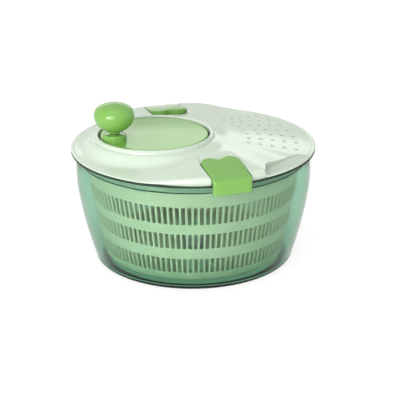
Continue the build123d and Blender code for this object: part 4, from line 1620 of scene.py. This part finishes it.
# %% [markdown]
# ## Floor, light and camera
#
# The object stands in a white studio. A plain white board would turn grey away from the lights, so
# the board also glows a little, and its own tone only decides how strong the shadow is. A large
# soft light hangs above, and a broad one at the front left models the basket's and the lid's
# curves. A small bright one beside it gives the knob its highlight, and a low strip behind shows
# as a pale band on the crank disc. The camera stands far off with a long lens.

# %% Floor
floor_drift_mm = 400
floor_half = 4.0
floor_drop = 0.1 * mm
floor_glow = {"Roughness": 0.9, "Emission Color": (1, 1, 1, 1), "Emission Strength": 0.82}


def white_board():
    """Matt white paint with a faint drift of tone, lit from within."""
    material, tree, place = empty_material("white_board")
    tone = two_tones(tree, place, floor_drift_mm, 2.0, "#7e7e7d", "#7a7a79")[1]
    shader = add(tree, "ShaderNodeBsdfPrincipled", floor_glow, {"Base Color": tone})
    add(tree, "ShaderNodeOutputMaterial", None, {"Surface": shader.outputs["BSDF"]})
    return material


floor_mesh = bpy.data.meshes.new("floor")
floor_signs = ((-1, -1), (1, -1), (1, 1), (-1, 1))
floor_corners = [(x * floor_half, y * floor_half, -floor_drop) for x, y in floor_signs]
floor_mesh.from_pydata(floor_corners, [], [(0, 1, 2, 3)])
floor_mesh.materials.append(white_board())
floor = new_piece("floor", floor_mesh)
print("floor width m", 2 * floor_half)

# %% Light
world_strength = 0.94
world = bpy.data.worlds.new("studio")
bpy.context.scene.world = world
world.use_nodes = True
sky = world.node_tree.nodes["Background"].inputs
sky["Color"].default_value = linear("#f4f7f4")
sky["Strength"].default_value = world_strength


def softbox(name, azimuth, elevation, distance, width, height, radiance):
    """A lit rectangle that faces the object. Its power follows from its size and radiance."""
    around, up = math.radians(azimuth), math.radians(elevation)
    side = Vector((math.sin(around) * math.cos(up), -math.cos(around) * math.cos(up), math.sin(up)))
    target = Vector((0, 0, lid_bottom))
    light = bpy.data.lights.new(name, "AREA")
    light.shape = "RECTANGLE"
    light.size = width
    light.size_y = height
    light.energy = radiance * width * height * math.pi
    lamp = bpy.data.objects.new(name, light)
    lamp.location = target + side * distance
    lamp.rotation_euler = side.to_track_quat("Z", "Y").to_euler()
    bpy.context.scene.collection.objects.link(lamp)


# Name, azimuth and elevation in degrees, distance, width and height in metres, and radiance.
softboxes = (
    ("overhead", 0, 88, 2.2, 1.6, 1.6, 0.6),
    ("left_front", -40, 18, 1.8, 1.4, 1.1, 4.0),
    ("front_left", -46, 14, 1.6, 0.60, 0.50, 8),
    ("rear_strip", 163, 21, 2.4, 2.4, 0.35, 1.25),
)
for measures in softboxes:
    softbox(*measures)
print("softboxes", len(softboxes))

# %% Camera
view_azimuth = math.radians(-17)
camera_distance = 1.2605
camera_height = 0.5408
camera_pitch = 0.3668
camera_roll = 0.0106
camera_data = bpy.data.cameras.new("camera")
camera_data.sensor_width = 36
camera_data.lens = 117
camera_data.shift_x = 0.01565
camera = bpy.data.objects.new("camera", camera_data)
bpy.context.scene.collection.objects.link(camera)
level = Vector((math.cos(view_azimuth), math.sin(view_azimuth), 0))
ahead = Vector((-math.sin(view_azimuth), math.cos(view_azimuth), 0)) * math.cos(camera_pitch)
ahead.z = -math.sin(camera_pitch)
upright = level.cross(ahead)
right = level * math.cos(camera_roll) - upright * math.sin(camera_roll)
above = level * math.sin(camera_roll) + upright * math.cos(camera_roll)
axes = Matrix((right, above, -ahead)).transposed().to_4x4()
spot = Vector((math.sin(view_azimuth), -math.cos(view_azimuth), 0)) * camera_distance
spot.z = camera_height
camera.matrix_world = Matrix.Translation(spot) @ axes
bpy.context.scene.camera = camera
bpy.context.scene.view_settings.view_transform = "Standard"
print("camera at mm", [round(v / mm) for v in camera.location])
